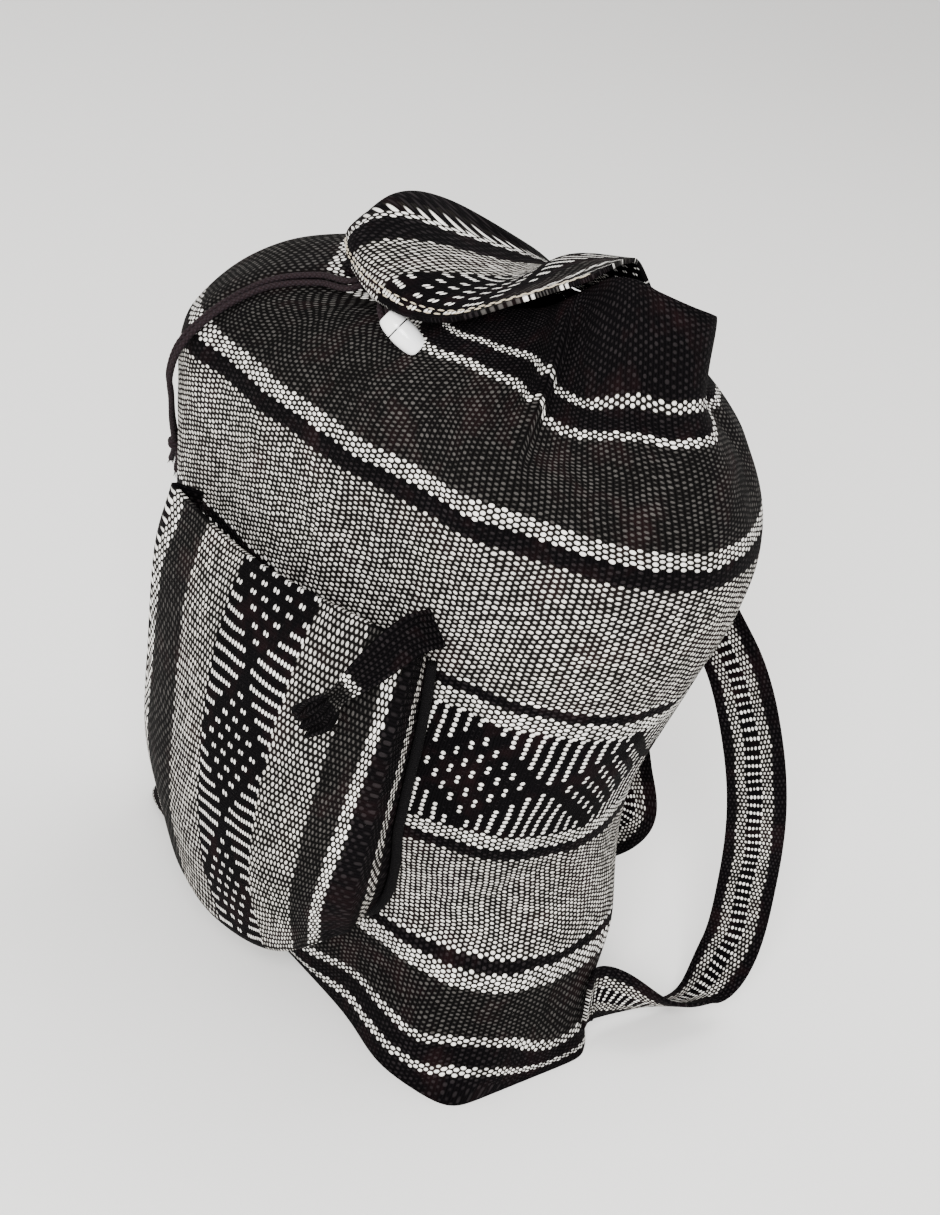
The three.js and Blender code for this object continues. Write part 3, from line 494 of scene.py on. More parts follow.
# rows of the cloths, counted from the base seam up or from the left edge
SACK_STRIPES = (
    (4, "black"), (2, "white"), (3, "black"), (2, "white"), (12, "charcoal"), (3, "white"),
    (3, "black"), (1, "white"), (26, "light"), (2, "black"), (1, "sparse"), (3, "white"),
    (26, "figured"), (3, "white"), (3, "black"), (1, "white"), (26, "light"), (1, "white"),
    (3, "black"), (1, "sparse"), (2, "white"), (22, "charcoal"), (2, "white"), (4, "black"),
    (2, "white"), (17, "black"),
)
POCKET_STRIPES = (
    (5, "black"), (3, "white"), (9, "charcoal"), (13, "light"), (24, "figured"), (12, "light"),
    (7, "charcoal"), (3, "white"), (6, "black"), (3, "light"), (4, "black"),
)
FLAP_STRIPES = (
    (3, "black"), (2, "white"), (5, "black"), (13, "light"), (24, "figured"), (3, "black"),
    (5, "charcoal"), (2, "white"), (7, "charcoal"), (2, "white"), (8, "black"),
)
BELT_STRIPES = ((3, "black"), (3, "light"), (4, "sparse"), (3, "light"), (3, "black"))
TAB_STRIPES = ((19, "black"), (2, "white"), (5, "charcoal"), (30, "black"))


def braided_cotton(name, colour):
    """Round braided cord: crossing strands that catch light in short diagonal beads."""
    finish, tree = new_finish(name, colour)
    cloth = add(tree, "UVMap", uv_map="cloth")
    part = add(tree, "SeparateXYZ", [cloth])
    # u once round, v in metres along; the strands cross every 1.6 mm
    wave = []
    for hand in (1, -1):
        rise = add(tree, "Math MULTIPLY", [part.outputs[1], hand * grains(CORD_LAY)])
        strand_at = add(tree, "Math MULTIPLY_ADD", [part.outputs[0], 4.0, rise])
        turn = add(tree, "Math MULTIPLY", [strand_at, math.pi])
        wave.append(add(tree, "Math ABSOLUTE", [add(tree, "Math SINE", [turn])]))
    plait = add(tree, "Math MULTIPLY", wave)
    fuzz = add(
        tree, "TexNoise", {"Vector": cloth, "Scale": grains(CORD_FUZZ), "Detail": 3.0},
        noise_dimensions="2D"
    )
    # painted highlight and shade: the cord is drawn paler where its strands stand up and darker between them
    glow = add(tree, "MapRange", {"Value": plait, "To Min": 0.5, "To Max": 2.2})
    dark = add(tree, "VectorMath SCALE", {0: colour[:3], "Scale": glow})
    fleck = add(tree, "MapRange", {"Value": fuzz, "From Min": 0.50, "From Max": 0.72, "To Max": 0.55})
    shade = add(tree, "Mix", {0: fleck, 6: dark, 7: linear("#4a3233")}, data_type="RGBA").outputs[2]
    height = add(tree, "Math MULTIPLY_ADD", [fuzz, 0.4, plait])
    close_finish(tree, shade, 0.8, (0.9, 0.0005, height), IOR=1.45, Specular_IOR_Level=0.08)
    return finish


def glazed_bead(name, colour, axis, middle):
    """Pressed opaque glass bead: glossy, faintly milky, with a dark ring along its groove."""
    finish, tree = new_finish(name, colour)
    point = add(tree, "NewGeometry").outputs["Position"]
    spot = add(tree, "VectorMath SUBTRACT", [point, tuple(middle)])
    along = add(tree, "VectorMath DOT_PRODUCT", [spot, tuple(axis)]).outputs["Value"]
    ring = add(tree, "Math COMPARE", [along, BEAD_GROOVE / 1000, 0.00036])
    smoky = add(tree, "TexNoise", {"Vector": spot, "Scale": grains(GLASS_CLOUD), "Detail": 4.0})
    milk = add(tree, "MapRange", {"Value": smoky, "From Min": 0.4, "From Max": 0.8, "To Max": 0.35})
    body = add(tree, "Mix", {0: milk, 6: colour, 7: linear("#cfd3da")}, data_type="RGBA").outputs[2]
    shade = add(tree, "Mix", {0: ring, 6: body, 7: linear("#1c1a1d")}, data_type="RGBA").outputs[2]
    wear = add(tree, "MapRange", {"Value": smoky, "To Min": 0.16, "To Max": 0.34})
    close_finish(tree, shade, wear, (0.12, 0.0003, smoky), IOR=1.5, Coat_Weight=0.4)
    return finish


def sewing_thread(name, colour):
    """Spun cotton thread, two-ply: matt, with a fine twist."""
    finish, tree = new_finish(name, colour)
    spot = add(tree, "NewGeometry").outputs["Position"]
    twist = add(tree, "TexNoise", {"Vector": spot, "Scale": grains(THREAD_PLY), "Detail": 2.0})
    ply = add(tree, "MapRange", {"Value": twist, "To Min": 0.55, "To Max": 1.3})
    shade = add(tree, "VectorMath SCALE", {0: colour[:3], "Scale": ply})
    close_finish(tree, shade, 0.75, (0.6, 0.0002, twist), IOR=1.45, Sheen_Weight=0.2)
    return finish


def rolled_cloth(name, colour):
    """Black cotton folded into a tape and pressed: close ribs, matt, with painted highlight on the ribs and
    painted shade between them.
    """
    finish, tree = new_finish(name, colour)
    cloth = add(tree, "UVMap", uv_map="cloth")
    part = add(tree, "SeparateXYZ", [cloth])
    # ribs every 1.3 mm along the tape, one per thread
    turn = add(tree, "Math MULTIPLY", [part.outputs[1], 2 * math.pi / 0.0026])
    ribs = add(tree, "Math ABSOLUTE", [add(tree, "Math SINE", [turn])])
    fuzz = add(
        tree, "TexNoise", {"Vector": cloth, "Scale": grains(TAPE_FUZZ), "Detail": 4.0},
        noise_dimensions="2D"
    )
    # painted shade and highlight across the ribs; the lint's random tone is multiplied in
    painted_rib_light = add(tree, "MapRange", {"Value": ribs, "To Min": 0.4, "To Max": 1.2})
    lint = add(tree, "MapRange", {"Value": fuzz, "To Min": 0.5, "To Max": 1.6})
    glow = add(tree, "Math MULTIPLY", [painted_rib_light, lint])
    shade = add(tree, "VectorMath SCALE", {0: colour[:3], "Scale": glow})
    height = add(tree, "Math MULTIPLY_ADD", [fuzz, 0.4, ribs])
    close_finish(tree, shade, 0.88, (0.8, 0.0005, height), IOR=1.45, Specular_IOR_Level=0.10)
    return finish


# meshes
def mesh_piece(name, points, quads, cloth, finish, replaced=(), slot=None):
    """A smooth mesh from points in mm, faces of point numbers, and cloth places in m per corner."""
    data = bpy.data.meshes.new(name)
    data.from_pydata((np.asarray(points) / 1000).tolist(), [], quads)
    layer = data.uv_layers.new(name="cloth")
    layer.data.foreach_set("uv", np.asarray(cloth, np.float32).reshape(-1))
    data.polygons.foreach_set("use_smooth", [True] * len(data.polygons))
    data.materials.append(finish)
    data.validate()
    piece = bpy.data.objects.new(name, data)
    bpy.context.scene.collection.objects.link(piece)
    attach(piece, "root")
    if replaced:
        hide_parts(*replaced)
    return piece


def grid_normals(P, closed):
    if closed:
        a = np.roll(P, -1, 1) - np.roll(P, 1, 1)
    else:
        a = np.gradient(P, axis=1)
    return unit(np.cross(a, np.gradient(P, axis=0)))


def grid_faces(rows, cols, closed, start=0, flip=False):
    i, j = np.meshgrid(np.arange(rows - 1), np.arange(cols if closed else cols - 1), indexing="ij")
    a, b = i * cols + j, i * cols + (j + 1) % cols
    q = np.stack([a, b, b + cols, a + cols], -1).reshape(-1, 4) + start
    around = ((i, j), (i, j + 1), (i + 1, j + 1), (i + 1, j))
    corners = np.stack([np.stack(p, -1) for p in around], -2).reshape(-1, 4, 2)
    return (q[:, ::-1], corners[:, ::-1]) if flip else (q, corners)


def shell_piece(name, P, cloth, wall, finish, closed=False, floor=False, thin_rows=1, **words):
    """Cloth of even thickness with P as its outer face; where it closes, cloth has one more column."""
    R, C = P.shape[:2]
    keep = np.unique(np.concatenate([np.arange(0, R, thin_rows), [R - 1]]))
    inner = P[keep] - grid_normals(P, closed)[keep] * wall
    if floor:
        inner[0] = P[0] * [0.985, 0.985, 1] + [0, 0, wall]
        inner[:, :, 2] = np.maximum(inner[:, :, 2], wall)
    points = [P.reshape(-1, 3), inner.reshape(-1, 3)]
    k = R * C
    out, out_at = grid_faces(R, C, closed)
    back, back_at = grid_faces(len(keep), C, closed, k, True)
    quads = [out, back]
    uv = [cloth[out_at[..., 0], out_at[..., 1]], cloth[keep][back_at[..., 0], back_at[..., 1]]]
    edge = []
    top, last = (R - 1) * C, (len(keep) - 1) * C
    for j in range(C if closed else C - 1):
        n = (j + 1) % C
        edge.append(([top + j, top + n, k + last + n, k + last + j], [cloth[-1, j], cloth[-1, j + 1]] * 2))
        if not floor:
            edge.append(([n, j, k + j, k + n], [cloth[0, j + 1], cloth[0, j]] * 2))
    quads, uv = np.concatenate(quads).tolist(), [*np.concatenate(uv)]
    for f, c in edge:
        quads.append(f)
        uv.append(np.array([c[0], c[1], c[1], c[0]]))
    if not closed:
        # the side edges meet the inner rows that were kept
        for j, turn in ((0, 1), (C - 1, -1)):
            for m in range(len(keep) - 1):
                ring = [r * C + j for r in range(keep[m], keep[m + 1] + 1)]
                f = ring + [k + (m + 1) * C + j, k + m * C + j]
                c = [cloth[r, j] for r in range(keep[m], keep[m + 1] + 1)]
                c += [cloth[keep[m + 1], j], cloth[keep[m], j]]
                quads.append(f if turn > 0 else f[::-1])
                uv.append(np.array(c if turn > 0 else c[::-1]))
    if floor:
        # the sewn base, ring by ring to its middle
        for ring0, z, turn in ((0, 0.0, True), (k, wall, False)):
            border = points[0][:C] if ring0 == 0 else inner[0]
            centre = border.mean(0)
            start, numbers = sum(len(p) for p in points), [list(range(ring0, ring0 + C))]
            for t in (0.75, 0.5, 0.25, 0.06):
                ring = centre + (border - centre) * t
                ring[:, 2] = z
                points.append(ring)
                numbers.append(list(range(start, start + C)))
                start += C
            for a, b in zip(numbers, numbers[1:]):
                for j in range(C):
                    n = (j + 1) % C
                    f = [a[n], a[j], b[j], b[n]]
                    quads.append(f if turn else f[::-1])
                    uv.append(np.full((4, 2), 0.004))
            f = numbers[-1]
            quads.append(f[::-1] if turn else f)
            uv.append(np.full((C, 2), 0.004))
    return mesh_piece(name, np.concatenate(points), quads, np.concatenate(uv), finish, **words)


def tube_piece(name, path, radius, finish, sides=12, plait=0.0, taper=None, **words):
    """A round cord along the path; plait raises the crossing strands of a braid."""
    path = np.asarray(path, float)
    n = len(path)
    run = lengths(path)
    along = unit(np.gradient(path, axis=0))
    side = unit(np.cross(along[0], [0.31, 0.52, 0.79]))
    sides_at = []
    for d in along:
        side = unit(side - d * (side @ d))
        sides_at.append(side)
    S = np.array(sides_at)
    B = np.cross(along, S)
    a = np.arange(sides) / sides * 2 * math.pi
    r = np.full((n, sides), radius)
    if taper is not None:
        r = r * np.asarray(taper)[:, None]
    if plait:
        p, q = a[None] * 2 + run[:, None] * 0.97, a[None] * 2 - run[:, None] * 0.97
        r = r * (1 - plait + plait * 1.1 * np.maximum(np.abs(np.sin(p)), np.abs(np.sin(q))))
    ring = np.cos(a)[None, :, None] * S[:, None] + np.sin(a)[None, :, None] * B[:, None]
    P = path[:, None] + r[..., None] * ring
    cloth = crossed((np.arange(sides + 1) / sides)[None], (run / 1000)[:, None])
    quads, at = grid_faces(n, sides, True)
    uv = [*cloth[at[..., 0], at[..., 1]]]
    quads = quads.tolist()
    tips = [path[:1] - along[:1] * radius * 0.25, path[-1:] + along[-1:] * radius * 0.25]
    points = np.concatenate([P.reshape(-1, 3), *tips])
    for j in range(sides):
        m = (j + 1) % sides
        quads.append([m, j, n * sides])
        uv.append(cloth[[0, 0, 0], [m, j, j]])
        e = (n - 1) * sides
        quads.append([e + j, e + m, n * sides + 1])
        uv.append(cloth[[-1, -1, -1], [j, m, j]])
    return mesh_piece(name, points, quads, np.concatenate(uv), finish, **words)


def joined(pieces):
    """Joins the pieces into the first of them."""
    chosen = {"selected_editable_objects": pieces, "selected_objects": pieces}
    with bpy.context.temp_override(active_object=pieces[0], **chosen):
        bpy.ops.object.join()


STITCH_TAPER = (0.3, 0.75, 1, 1, 1, 0.75, 0.3)


def stitch_piece(name, rows, long, gap, radius, finish):
    """Rows of sewn stitches, each a short length of thread that dips into the cloth at both ends."""
    found = []
    for row in rows:
        run = lengths(row)
        for a in np.arange(gap, run[-1] - long, long + gap):
            at = np.linspace(a, a + long, len(STITCH_TAPER))
            path = np.stack([np.interp(at, run, row[:, q]) for q in range(3)], -1)
            found.append(
                tube_piece(f"{name}_{len(found)}", path, radius, finish, sides=6, taper=STITCH_TAPER)
            )
    joined(found)
    found[0].name = name
    return found[0]


# routes
# the drawstring's route on the sack: u, cloth height and distance of its middle off the cloth, in mm
CORD_ROUTE = (
    (0.014, 390, -1.6), "bead", (0.915, 393, 15.0), (0.874, 395, 11.5), (0.852, 388, 4.6),
    (0.855, 371, 4.0), (0.857, 354, 3.6),
    (0.858, 337, 3.4), (0.856, 320, 3.6), (0.849, 302, 5.5), (0.838, 285, 3.8), (0.825, 268, 3.8),
    (0.812, 252, 5.0),
)
BEAD_AXIS = unit(np.array([-0.75, -0.36, 0.50]))
BEAD_AT = body_point(0.977, 391) + body_normal(0.990, 388) * (BEAD_WIDE / 2 + 3.0) + [7.3, -1.1, -1.8]
KNOT_LONG, FIBRES = 11.0, 22     # the knot, and how many loose fibres stand out of each end
PLAIT = 0.12                # depth of the braid's relief, as a share of the cord's radius


def cord_middle():
    places, outs = [], []
    for q in CORD_ROUTE:
        if q == "bead":
            for d in (-11, -4, 4, 11):
                places.append(BEAD_AT + BEAD_AXIS * d)
                outs.append(np.array([0, -0.8, 0.6]))
        else:
            n = body_normal(q[0], q[1])
            places.append(body_point(q[0], q[1]) + n * q[2])
            outs.append(n)
    return np.array(places), np.array(outs)


def strand(side, steps=64):
    places, outs = cord_middle()
    t = np.arange(steps + 1) / steps
    k = t * (len(places) - 1)
    j = np.minimum(k.astype(int), len(places) - 2)
    n = unit(outs[j] + (outs[j + 1] - outs[j]) * (k - j)[:, None])
    w = unit(np.cross(n, direction(places, t)))
    return route(places, t) + w * side * CORD_PITCH / 2


POCKET_FACE = shares([
    [[-0.260, -0.545, 0.582], [-0.118, -0.590, 0.577], [0.012, -0.618, 0.582], [0.148, -0.629, 0.595],
        [0.270, -0.584, 0.595]],
    [[-0.290, -0.528, 0.486], [-0.139, -0.629, 0.477], [-0.003, -0.674, 0.477], [0.142, -0.685, 0.482],
        [0.272, -0.618, 0.482]],
    [[-0.278, -0.528, 0.359], [-0.148, -0.640, 0.345], [-0.018, -0.697, 0.345], [0.130, -0.697, 0.350],
        [0.266, -0.618, 0.359]],
    [[-0.272, -0.506, 0.236], [-0.148, -0.618, 0.218], [-0.024, -0.674, 0.214], [0.118, -0.674, 0.223],
        [0.248, -0.596, 0.245]],
    [[-0.231, -0.472, 0.136], [-0.124, -0.545, 0.100], [-0.012, -0.584, 0.091], [0.118, -0.584, 0.114],
        [0.222, -0.528, 0.186]],
])
POCKET_FOOT = {
    "left": [[-0.243, 0.568], [-0.257, 0.480], [-0.254, 0.359], [-0.249, 0.250], [-0.213, 0.161]],
    "right": [[0.257, 0.564], [0.260, 0.480], [0.252, 0.380], [0.234, 0.268], [0.205, 0.195]],
    "bottom": [[-0.213, 0.161], [-0.118, 0.130], [-0.012, 0.120], [0.112, 0.142], [0.205, 0.195]],
}
POCKET_START = 44           # mm of cloth by which the pocket's figure starts off its mouth
WALL_SHARES = (0.28, 0.25)  # width of the left and right side wall, as shares of the face
# where the stripes' edges cross the pocket's face, as shares from its left edge, at each depth
POCKET_DEPTHS = (0.0, 0.12, 0.30, 0.50, 0.70, 1.0)
POCKET_EDGES = np.array([
    (0.02, 0.070, 0.19, 0.380, 0.69, 0.860, 0.945, 0.985, 1.14, 1.20),
    (0.03, 0.080, 0.20, 0.385, 0.69, 0.860, 0.945, 0.985, 1.14, 1.20),
    (0.015, 0.070, 0.23, 0.410, 0.69, 0.855, 0.940, 0.975, 1.14, 1.20),
    (0.020, 0.075, 0.29, 0.455, 0.69, 0.845, 0.920, 0.955, 1.12, 1.19),
    (0.010, 0.065, 0.32, 0.500, 0.70, 0.840, 0.905, 0.940, 1.10, 1.18),
    (0.000, 0.055, 0.30, 0.530, 0.71, 0.820, 0.870, 0.910, 1.06, 1.14),
])


def foot_at(side, t, away):
    flat = row_curve(np.array(POCKET_FOOT[side]) * [BAG_WIDTH, BAG_HEIGHT], t)
    return np.array([[x, wall_at(x, z) - away, z] for x, z in flat])


def pocket_grid(across, down, side):
    """Outer face of the pocket, and the place of each point on the cloth, in mm."""
    t, s = np.arange(down + 1) / down, np.arange(across + 1) / across
    face = patch(POCKET_FACE, s, t)
    away = SEAM_GAP + POCKET_WALL * 0.8
    left, right = foot_at("left", t, away), foot_at("right", t, away)
    w = (np.arange(side) / side)[None, :, None]
    left_wall = left[:, None] + (face[:, :1] - left[:, None]) * w
    right_wall = right[:, None] + (face[:, -1:] - right[:, None]) * w[:, ::-1]
    grid = np.concatenate([left_wall, face, right_wall], 1)
    left_share, right_share = WALL_SHARES[0] * (1 - w[0, :, 0]), WALL_SHARES[1] * (1 - w[0, ::-1, 0])
    wide = np.concatenate([-left_share, s, 1 + right_share])
    u = np.clip((np.arange(grid.shape[1]) - side) / across, 0, 1)
    foot = foot_at("bottom", u, away)
    k = (np.arange(1, side + 1) / side)[:, None, None]
    grid = np.concatenate([grid, grid[-1:] + (foot[None] - grid[-1:]) * k])
    rows = np.concatenate([[0], np.cumsum([n for n, _ in POCKET_STRIPES])])
    cloth = np.zeros(grid.shape[:2] + (2,))
    for i in range(grid.shape[0]):
        d = min(i / down, 1.0)
        edges = [np.interp(d, POCKET_DEPTHS, column) for column in POCKET_EDGES.T]
        cloth[i, :, 1] = np.interp(wide, [-0.35, *edges, 1.40], rows) * ROW
    cloth[..., 0] = POCKET_START + lengths(grid.mean(1))[:, None]
    return grid, cloth


FLAP_SEAM = (0.680, 0.600, 0.520, 0.450, 0.400, 0.350)
FLAP_EDGES = (0.05, 0.09, 0.20, 0.38, 0.66, 0.70, 0.80, 0.84, 0.91, 0.94)


def flap_face():
    def sewn(h, away, rise):
        lift = FLAP_WALL + away
        return np.array([body_point(u, h) + body_normal(u, h) * lift + [0, 0, rise] for u in FLAP_SEAM])

    seam, lip = sewn(436, 2.0, 0), sewn(452, 0.8, 5.5)
    return np.concatenate([seam[None], lip[None], shares([
        [[-0.124, -0.040, 0.936], [-0.075, -0.020, 0.952], [0.024, -0.010, 0.934], [0.118, -0.020, 0.934],
            [0.195, -0.020, 0.966], [0.290, -0.060, 0.990]],
        [[-0.130, -0.169, 0.938], [-0.086, -0.191, 0.962], [0.015, -0.191, 0.943], [0.124, -0.150, 0.934],
            [0.189, -0.145, 0.970], [0.302, -0.156, 1.004]],
        [[-0.124, -0.281, 0.922], [-0.071, -0.348, 0.932], [0.036, -0.371, 0.930], [0.142, -0.347, 0.930],
            [0.237, -0.291, 0.968], [0.320, -0.256, 1.010]],
        [[-0.112, -0.323, 0.909], [-0.041, -0.424, 0.907], [0.047, -0.469, 0.897], [0.148, -0.459, 0.911],
            [0.243, -0.392, 0.959], [0.320, -0.335, 1.002]],
    ])])


# straps: sewn places as (u, cloth, lift, upright) or shares of width, depth and height, and the
# direction across the belt
STRAP_RIGHT = (
    ((0.510, 374, 0.5, 0), (1.00, 0.00, 0.00)), ((0.508, 360, 0.6, 0), (1.00, 0.00, 0.00)),
    ([0.148, 0.520, 0.755], (0.95, 0.10, 0.15)), ([0.205, 0.590, 0.640], (0.90, 0.15, 0.30)),
    ([0.298, 0.625, 0.525], (0.85, 0.25, 0.35)),
    ([0.386, 0.650, 0.450], (0.82, 0.40, 0.25)), ([0.444, 0.650, 0.380], (0.80, 0.52, 0.12)),
    ([0.482, 0.660, 0.300], (0.80, 0.58, 0.00)),
    ([0.497, 0.690, 0.190], (0.80, 0.60, 0.00)), ([0.508, 0.665, 0.085], (0.82, 0.48, 0.20)),
    ([0.508, 0.560, 0.036], (0.85, 0.12, 0.45)),
    ([0.492, 0.390, 0.042], (0.72, -0.16, 0.62)), ((0.300, 42, 1.8, 1), (0.05, -0.10, 0.98)),
    ((0.285, 42, 1.1, 1), (0.00, -0.05, 0.99)),
)
STRAP_LEFT = (
    ((0.570, 374, 0.4, 0), (1.00, 0.00, 0.00)), ((0.568, 360, 0.5, 0), (1.00, 0.00, 0.00)),
    ([-0.080, 0.565, 0.740], (1.00, 0.05, 0.00)), ([-0.030, 0.63, 0.600], (0.95, 0.05, 0.25)),
    ([0.080, 0.64, 0.460], (0.80, 0.05, 0.55)),
    ([0.180, 0.63, 0.345], (0.60, 0.10, 0.75)), ([0.245, 0.61, 0.255], (0.75, 0.20, 0.60)),
    ([0.272, 0.61, 0.200], (0.95, 0.30, 0.10)),
    ([0.220, 0.64, 0.135], (0.60, 0.05, -0.75)), ([0.120, 0.62, 0.090], (0.20, 0.00, -0.95)),
    ([-0.120, 0.62, 0.065], (0.10, 0.00, -0.98)),
    ((0.628, 44, 0.0, 1), (0.00, 0.00, -1.00)), ((0.648, 44, 0.0, 1), (0.00, 0.00, -1.00)),
)


def sewn_seat(u, h, lift, upright):
    wide, deep, square = (float(through(h, SECTIONS[:, 0], SECTIONS[:, k])) for k in (1, 2, 7))
    girth = outline(wide, deep, square)[2][-1]
    half, du = STRAP_WIDTH / 2, STRAP_WIDTH / 2 / girth
    du2, dh, lu, lh = (0, half, du * 0.4, 0) if upright else (du, 0, 0, half * 0.4)
    at = lambda p, q: body_point(u + p * du2 + q * lu, h + p * dh + q * lh)
    across, along = unit(at(1, 0) - at(-1, 0)), unit(at(0, 1) - at(0, -1))
    p, n = body_point(u, h), unit(np.cross(across, along))
    if n[0] * p[0] + n[1] * p[1] < 0:
        n = -n
    high = max([0.0] + [float((at(i / 4, j) - p) @ n) for i in range(-4, 5) for j in (-1, 0, 1)])
    return p + n * (high + STRAP_THICK / 2 + SEAM_GAP + lift), across


def belt_piece(name, rows, steps, finish, **words):
    """A woven belt with rounded edges along its route; cloth runs along and across it in metres."""
    places, across = [], []
    for place, way in rows:
        way = np.array(way, float)
        if len(place) == 4:
            p, w = sewn_seat(*place)
            w = -w if w @ way < 0 else w
        else:
            p, w = shares(place), way
        places.append(p)
        across.append(w)
    t = np.arange(steps + 1) / steps
    k = t * (len(rows) - 1)
    centre, along = route(places, t), direction(places, t)
    A = np.stack([through(k, np.arange(len(rows)), np.array(across)[:, q]) for q in range(3)], -1)
    A = unit(A - along * (A * along).sum(1, keepdims=True))
    out = np.cross(along, A)
    half, thick = STRAP_WIDTH / 2, STRAP_THICK / 2
    # round the belt's section once: broad face, rounded edge, other face, rounded edge
    flat = np.linspace(-1, 1, 17)
    ring = []
    for way in (1, -1):
        ring += [(way * x * (half - thick), -way * thick) for x in flat]
        ring += [
            (way * (half - thick + thick * math.cos(a)), way * thick * math.sin(a)) for a in (-0.8, 0, 0.8)
        ]
    ring = np.array(ring)
    run = lengths(centre)
    P = centre[:, None] + A[:, None] * ring[None, :, :1] + out[:, None] * ring[None, :, 1:]
    n = len(ring)
    place = np.concatenate([ring[:, 0], ring[:1, 0]]) + half
    cloth = crossed((run / 1000)[:, None], (place / 1000)[None])
    quads, at = grid_faces(len(P), n, True)
    uv = [*cloth[at[..., 0], at[..., 1]]]
    quads = quads.tolist() + [list(range(n))[::-1], [(len(P) - 1) * n + j for j in range(n)]]
    uv += [cloth[0, :n][::-1], cloth[-1, :n]]
    return mesh_piece(name, P.reshape(-1, 3), quads, np.concatenate(uv), finish, **words)


# sizes and colours a user may change
def colour_property(name, code, words):
    return bpy.props.FloatVectorProperty(
        name=name, description=words, default=linear(code), size=4, min=0.0, max=1.0, subtype="COLOR"
    )


class BackpackSizes(bpy.types.PropertyGroup):
    pick: bpy.props.FloatProperty(
        name="Pick", description="Thread spacing along a stripe",
        default=PICK / 1000, unit="LENGTH", precision=5
    )
    row: bpy.props.FloatProperty(
        name="Row", description="Thread spacing across the stripes",
        default=ROW / 1000, unit="LENGTH", precision=5
    )
    yarn: bpy.props.FloatProperty(
        name="Yarn relief", description="How far a thread stands out of the cloth",
        default=0.0009, unit="LENGTH", precision=5
    )
    slack: bpy.props.FloatProperty(
        name="Slack", description="Depth of the small folds, 1 as made",
        default=1.0, min=0.0, max=1.5, subtype="FACTOR"
    )
    fray: bpy.props.FloatProperty(
        name="Fray", description="Length of the loose fibres at the cord ends",
        default=0.006, unit="LENGTH", precision=4
    )


class BackpackColours(bpy.types.PropertyGroup):
    black: colour_property("Black", "#040304", "Black cotton")
    charcoal: colour_property("Charcoal", "#3d3b39", "Charcoal threads where they pass over")
    light: colour_property("Light grey", "#d2cec7", "Pale threads of the heather stripes")
    white: colour_property("White", "#f3f0ea", "White threads of the lines and figures")
    cord: colour_property("Cord", "#141114", "Drawstring")
    bead: colour_property("Bead", "#f2f2f1", "Glazed bead")
    thread: colour_property("Sewing thread", "#b9ad95", "Cream thread under the flap's hem")


# stage: the camera's turn, rise and roll in degrees, its distance and target in metres, and its lens,
# whose focal length is in pixels of a picture so many pixels high
CAMERA_TURN, CAMERA_RISE, CAMERA_ROLL, CAMERA_AWAY = 38, 29, 12, 1.08
CAMERA_TARGET = Vector((0.036, 0.0, 0.222))
SENSOR, FOCAL_PIXELS, PICTURE_HEIGHT = 36, 2120, 1215
PAPER = "#f2f1ef"
FLOOR_HALF, FLOOR_DROP = 4, 0.0004
# lamps: name, place, size and power
LAMPS = (
    ("key", (1.1, -1.5, 1.35), 0.9, 92), ("fill", (-1.7, -0.9, 1.0), 1.4, 14),
    ("top", (0.1, 0.9, 1.9), 1.2, 26),
)


def photo_camera():
    az, el, roll = (math.radians(d) for d in (CAMERA_TURN, CAMERA_RISE, CAMERA_ROLL))
    back = Vector((math.sin(az) * math.cos(el), -math.cos(az) * math.cos(el), math.sin(el)))
    right = Vector((math.cos(az), math.sin(az), 0))
    up = back.cross(right)
    side = right * math.cos(roll) + up * math.sin(roll)
    top = up * math.cos(roll) - right * math.sin(roll)
    data = bpy.data.cameras.new("photo_camera")
    data.sensor_width, data.lens = SENSOR, FOCAL_PIXELS * SENSOR / PICTURE_HEIGHT
    camera = bpy.data.objects.new("photo_camera", data)
    spot = CAMERA_TARGET + back * CAMERA_AWAY
    rows = [(side[k], top[k], back[k], spot[k]) for k in range(3)]
    camera.matrix_world = Matrix((*rows, (0, 0, 0, 1)))
    return camera


def paper_floor():
    mesh = bpy.data.meshes.new("studio_floor")
    h = FLOOR_HALF
    mesh.from_pydata([(-h, -h, 0), (h, -h, 0), (h, h, 0), (-h, h, 0)], [], [(0, 1, 2, 3)])
    floor = bpy.data.objects.new("studio_floor", mesh)
    floor.location.z = -FLOOR_DROP
    # uncoated paper: matt and even, so that the eye stays on the bag and its shadow
    paper, tree = new_finish("seamless paper", linear(PAPER))
    grain = add(
        tree, "TexNoise", {"Vector": add(tree, "TexCoord").outputs["Object"], "Scale": grains(PAPER_GRAIN)}
    )
    close_finish(tree, linear(PAPER), 0.9, (0.05, 0.0003, grain))
    mesh.materials.append(paper)
    return floor


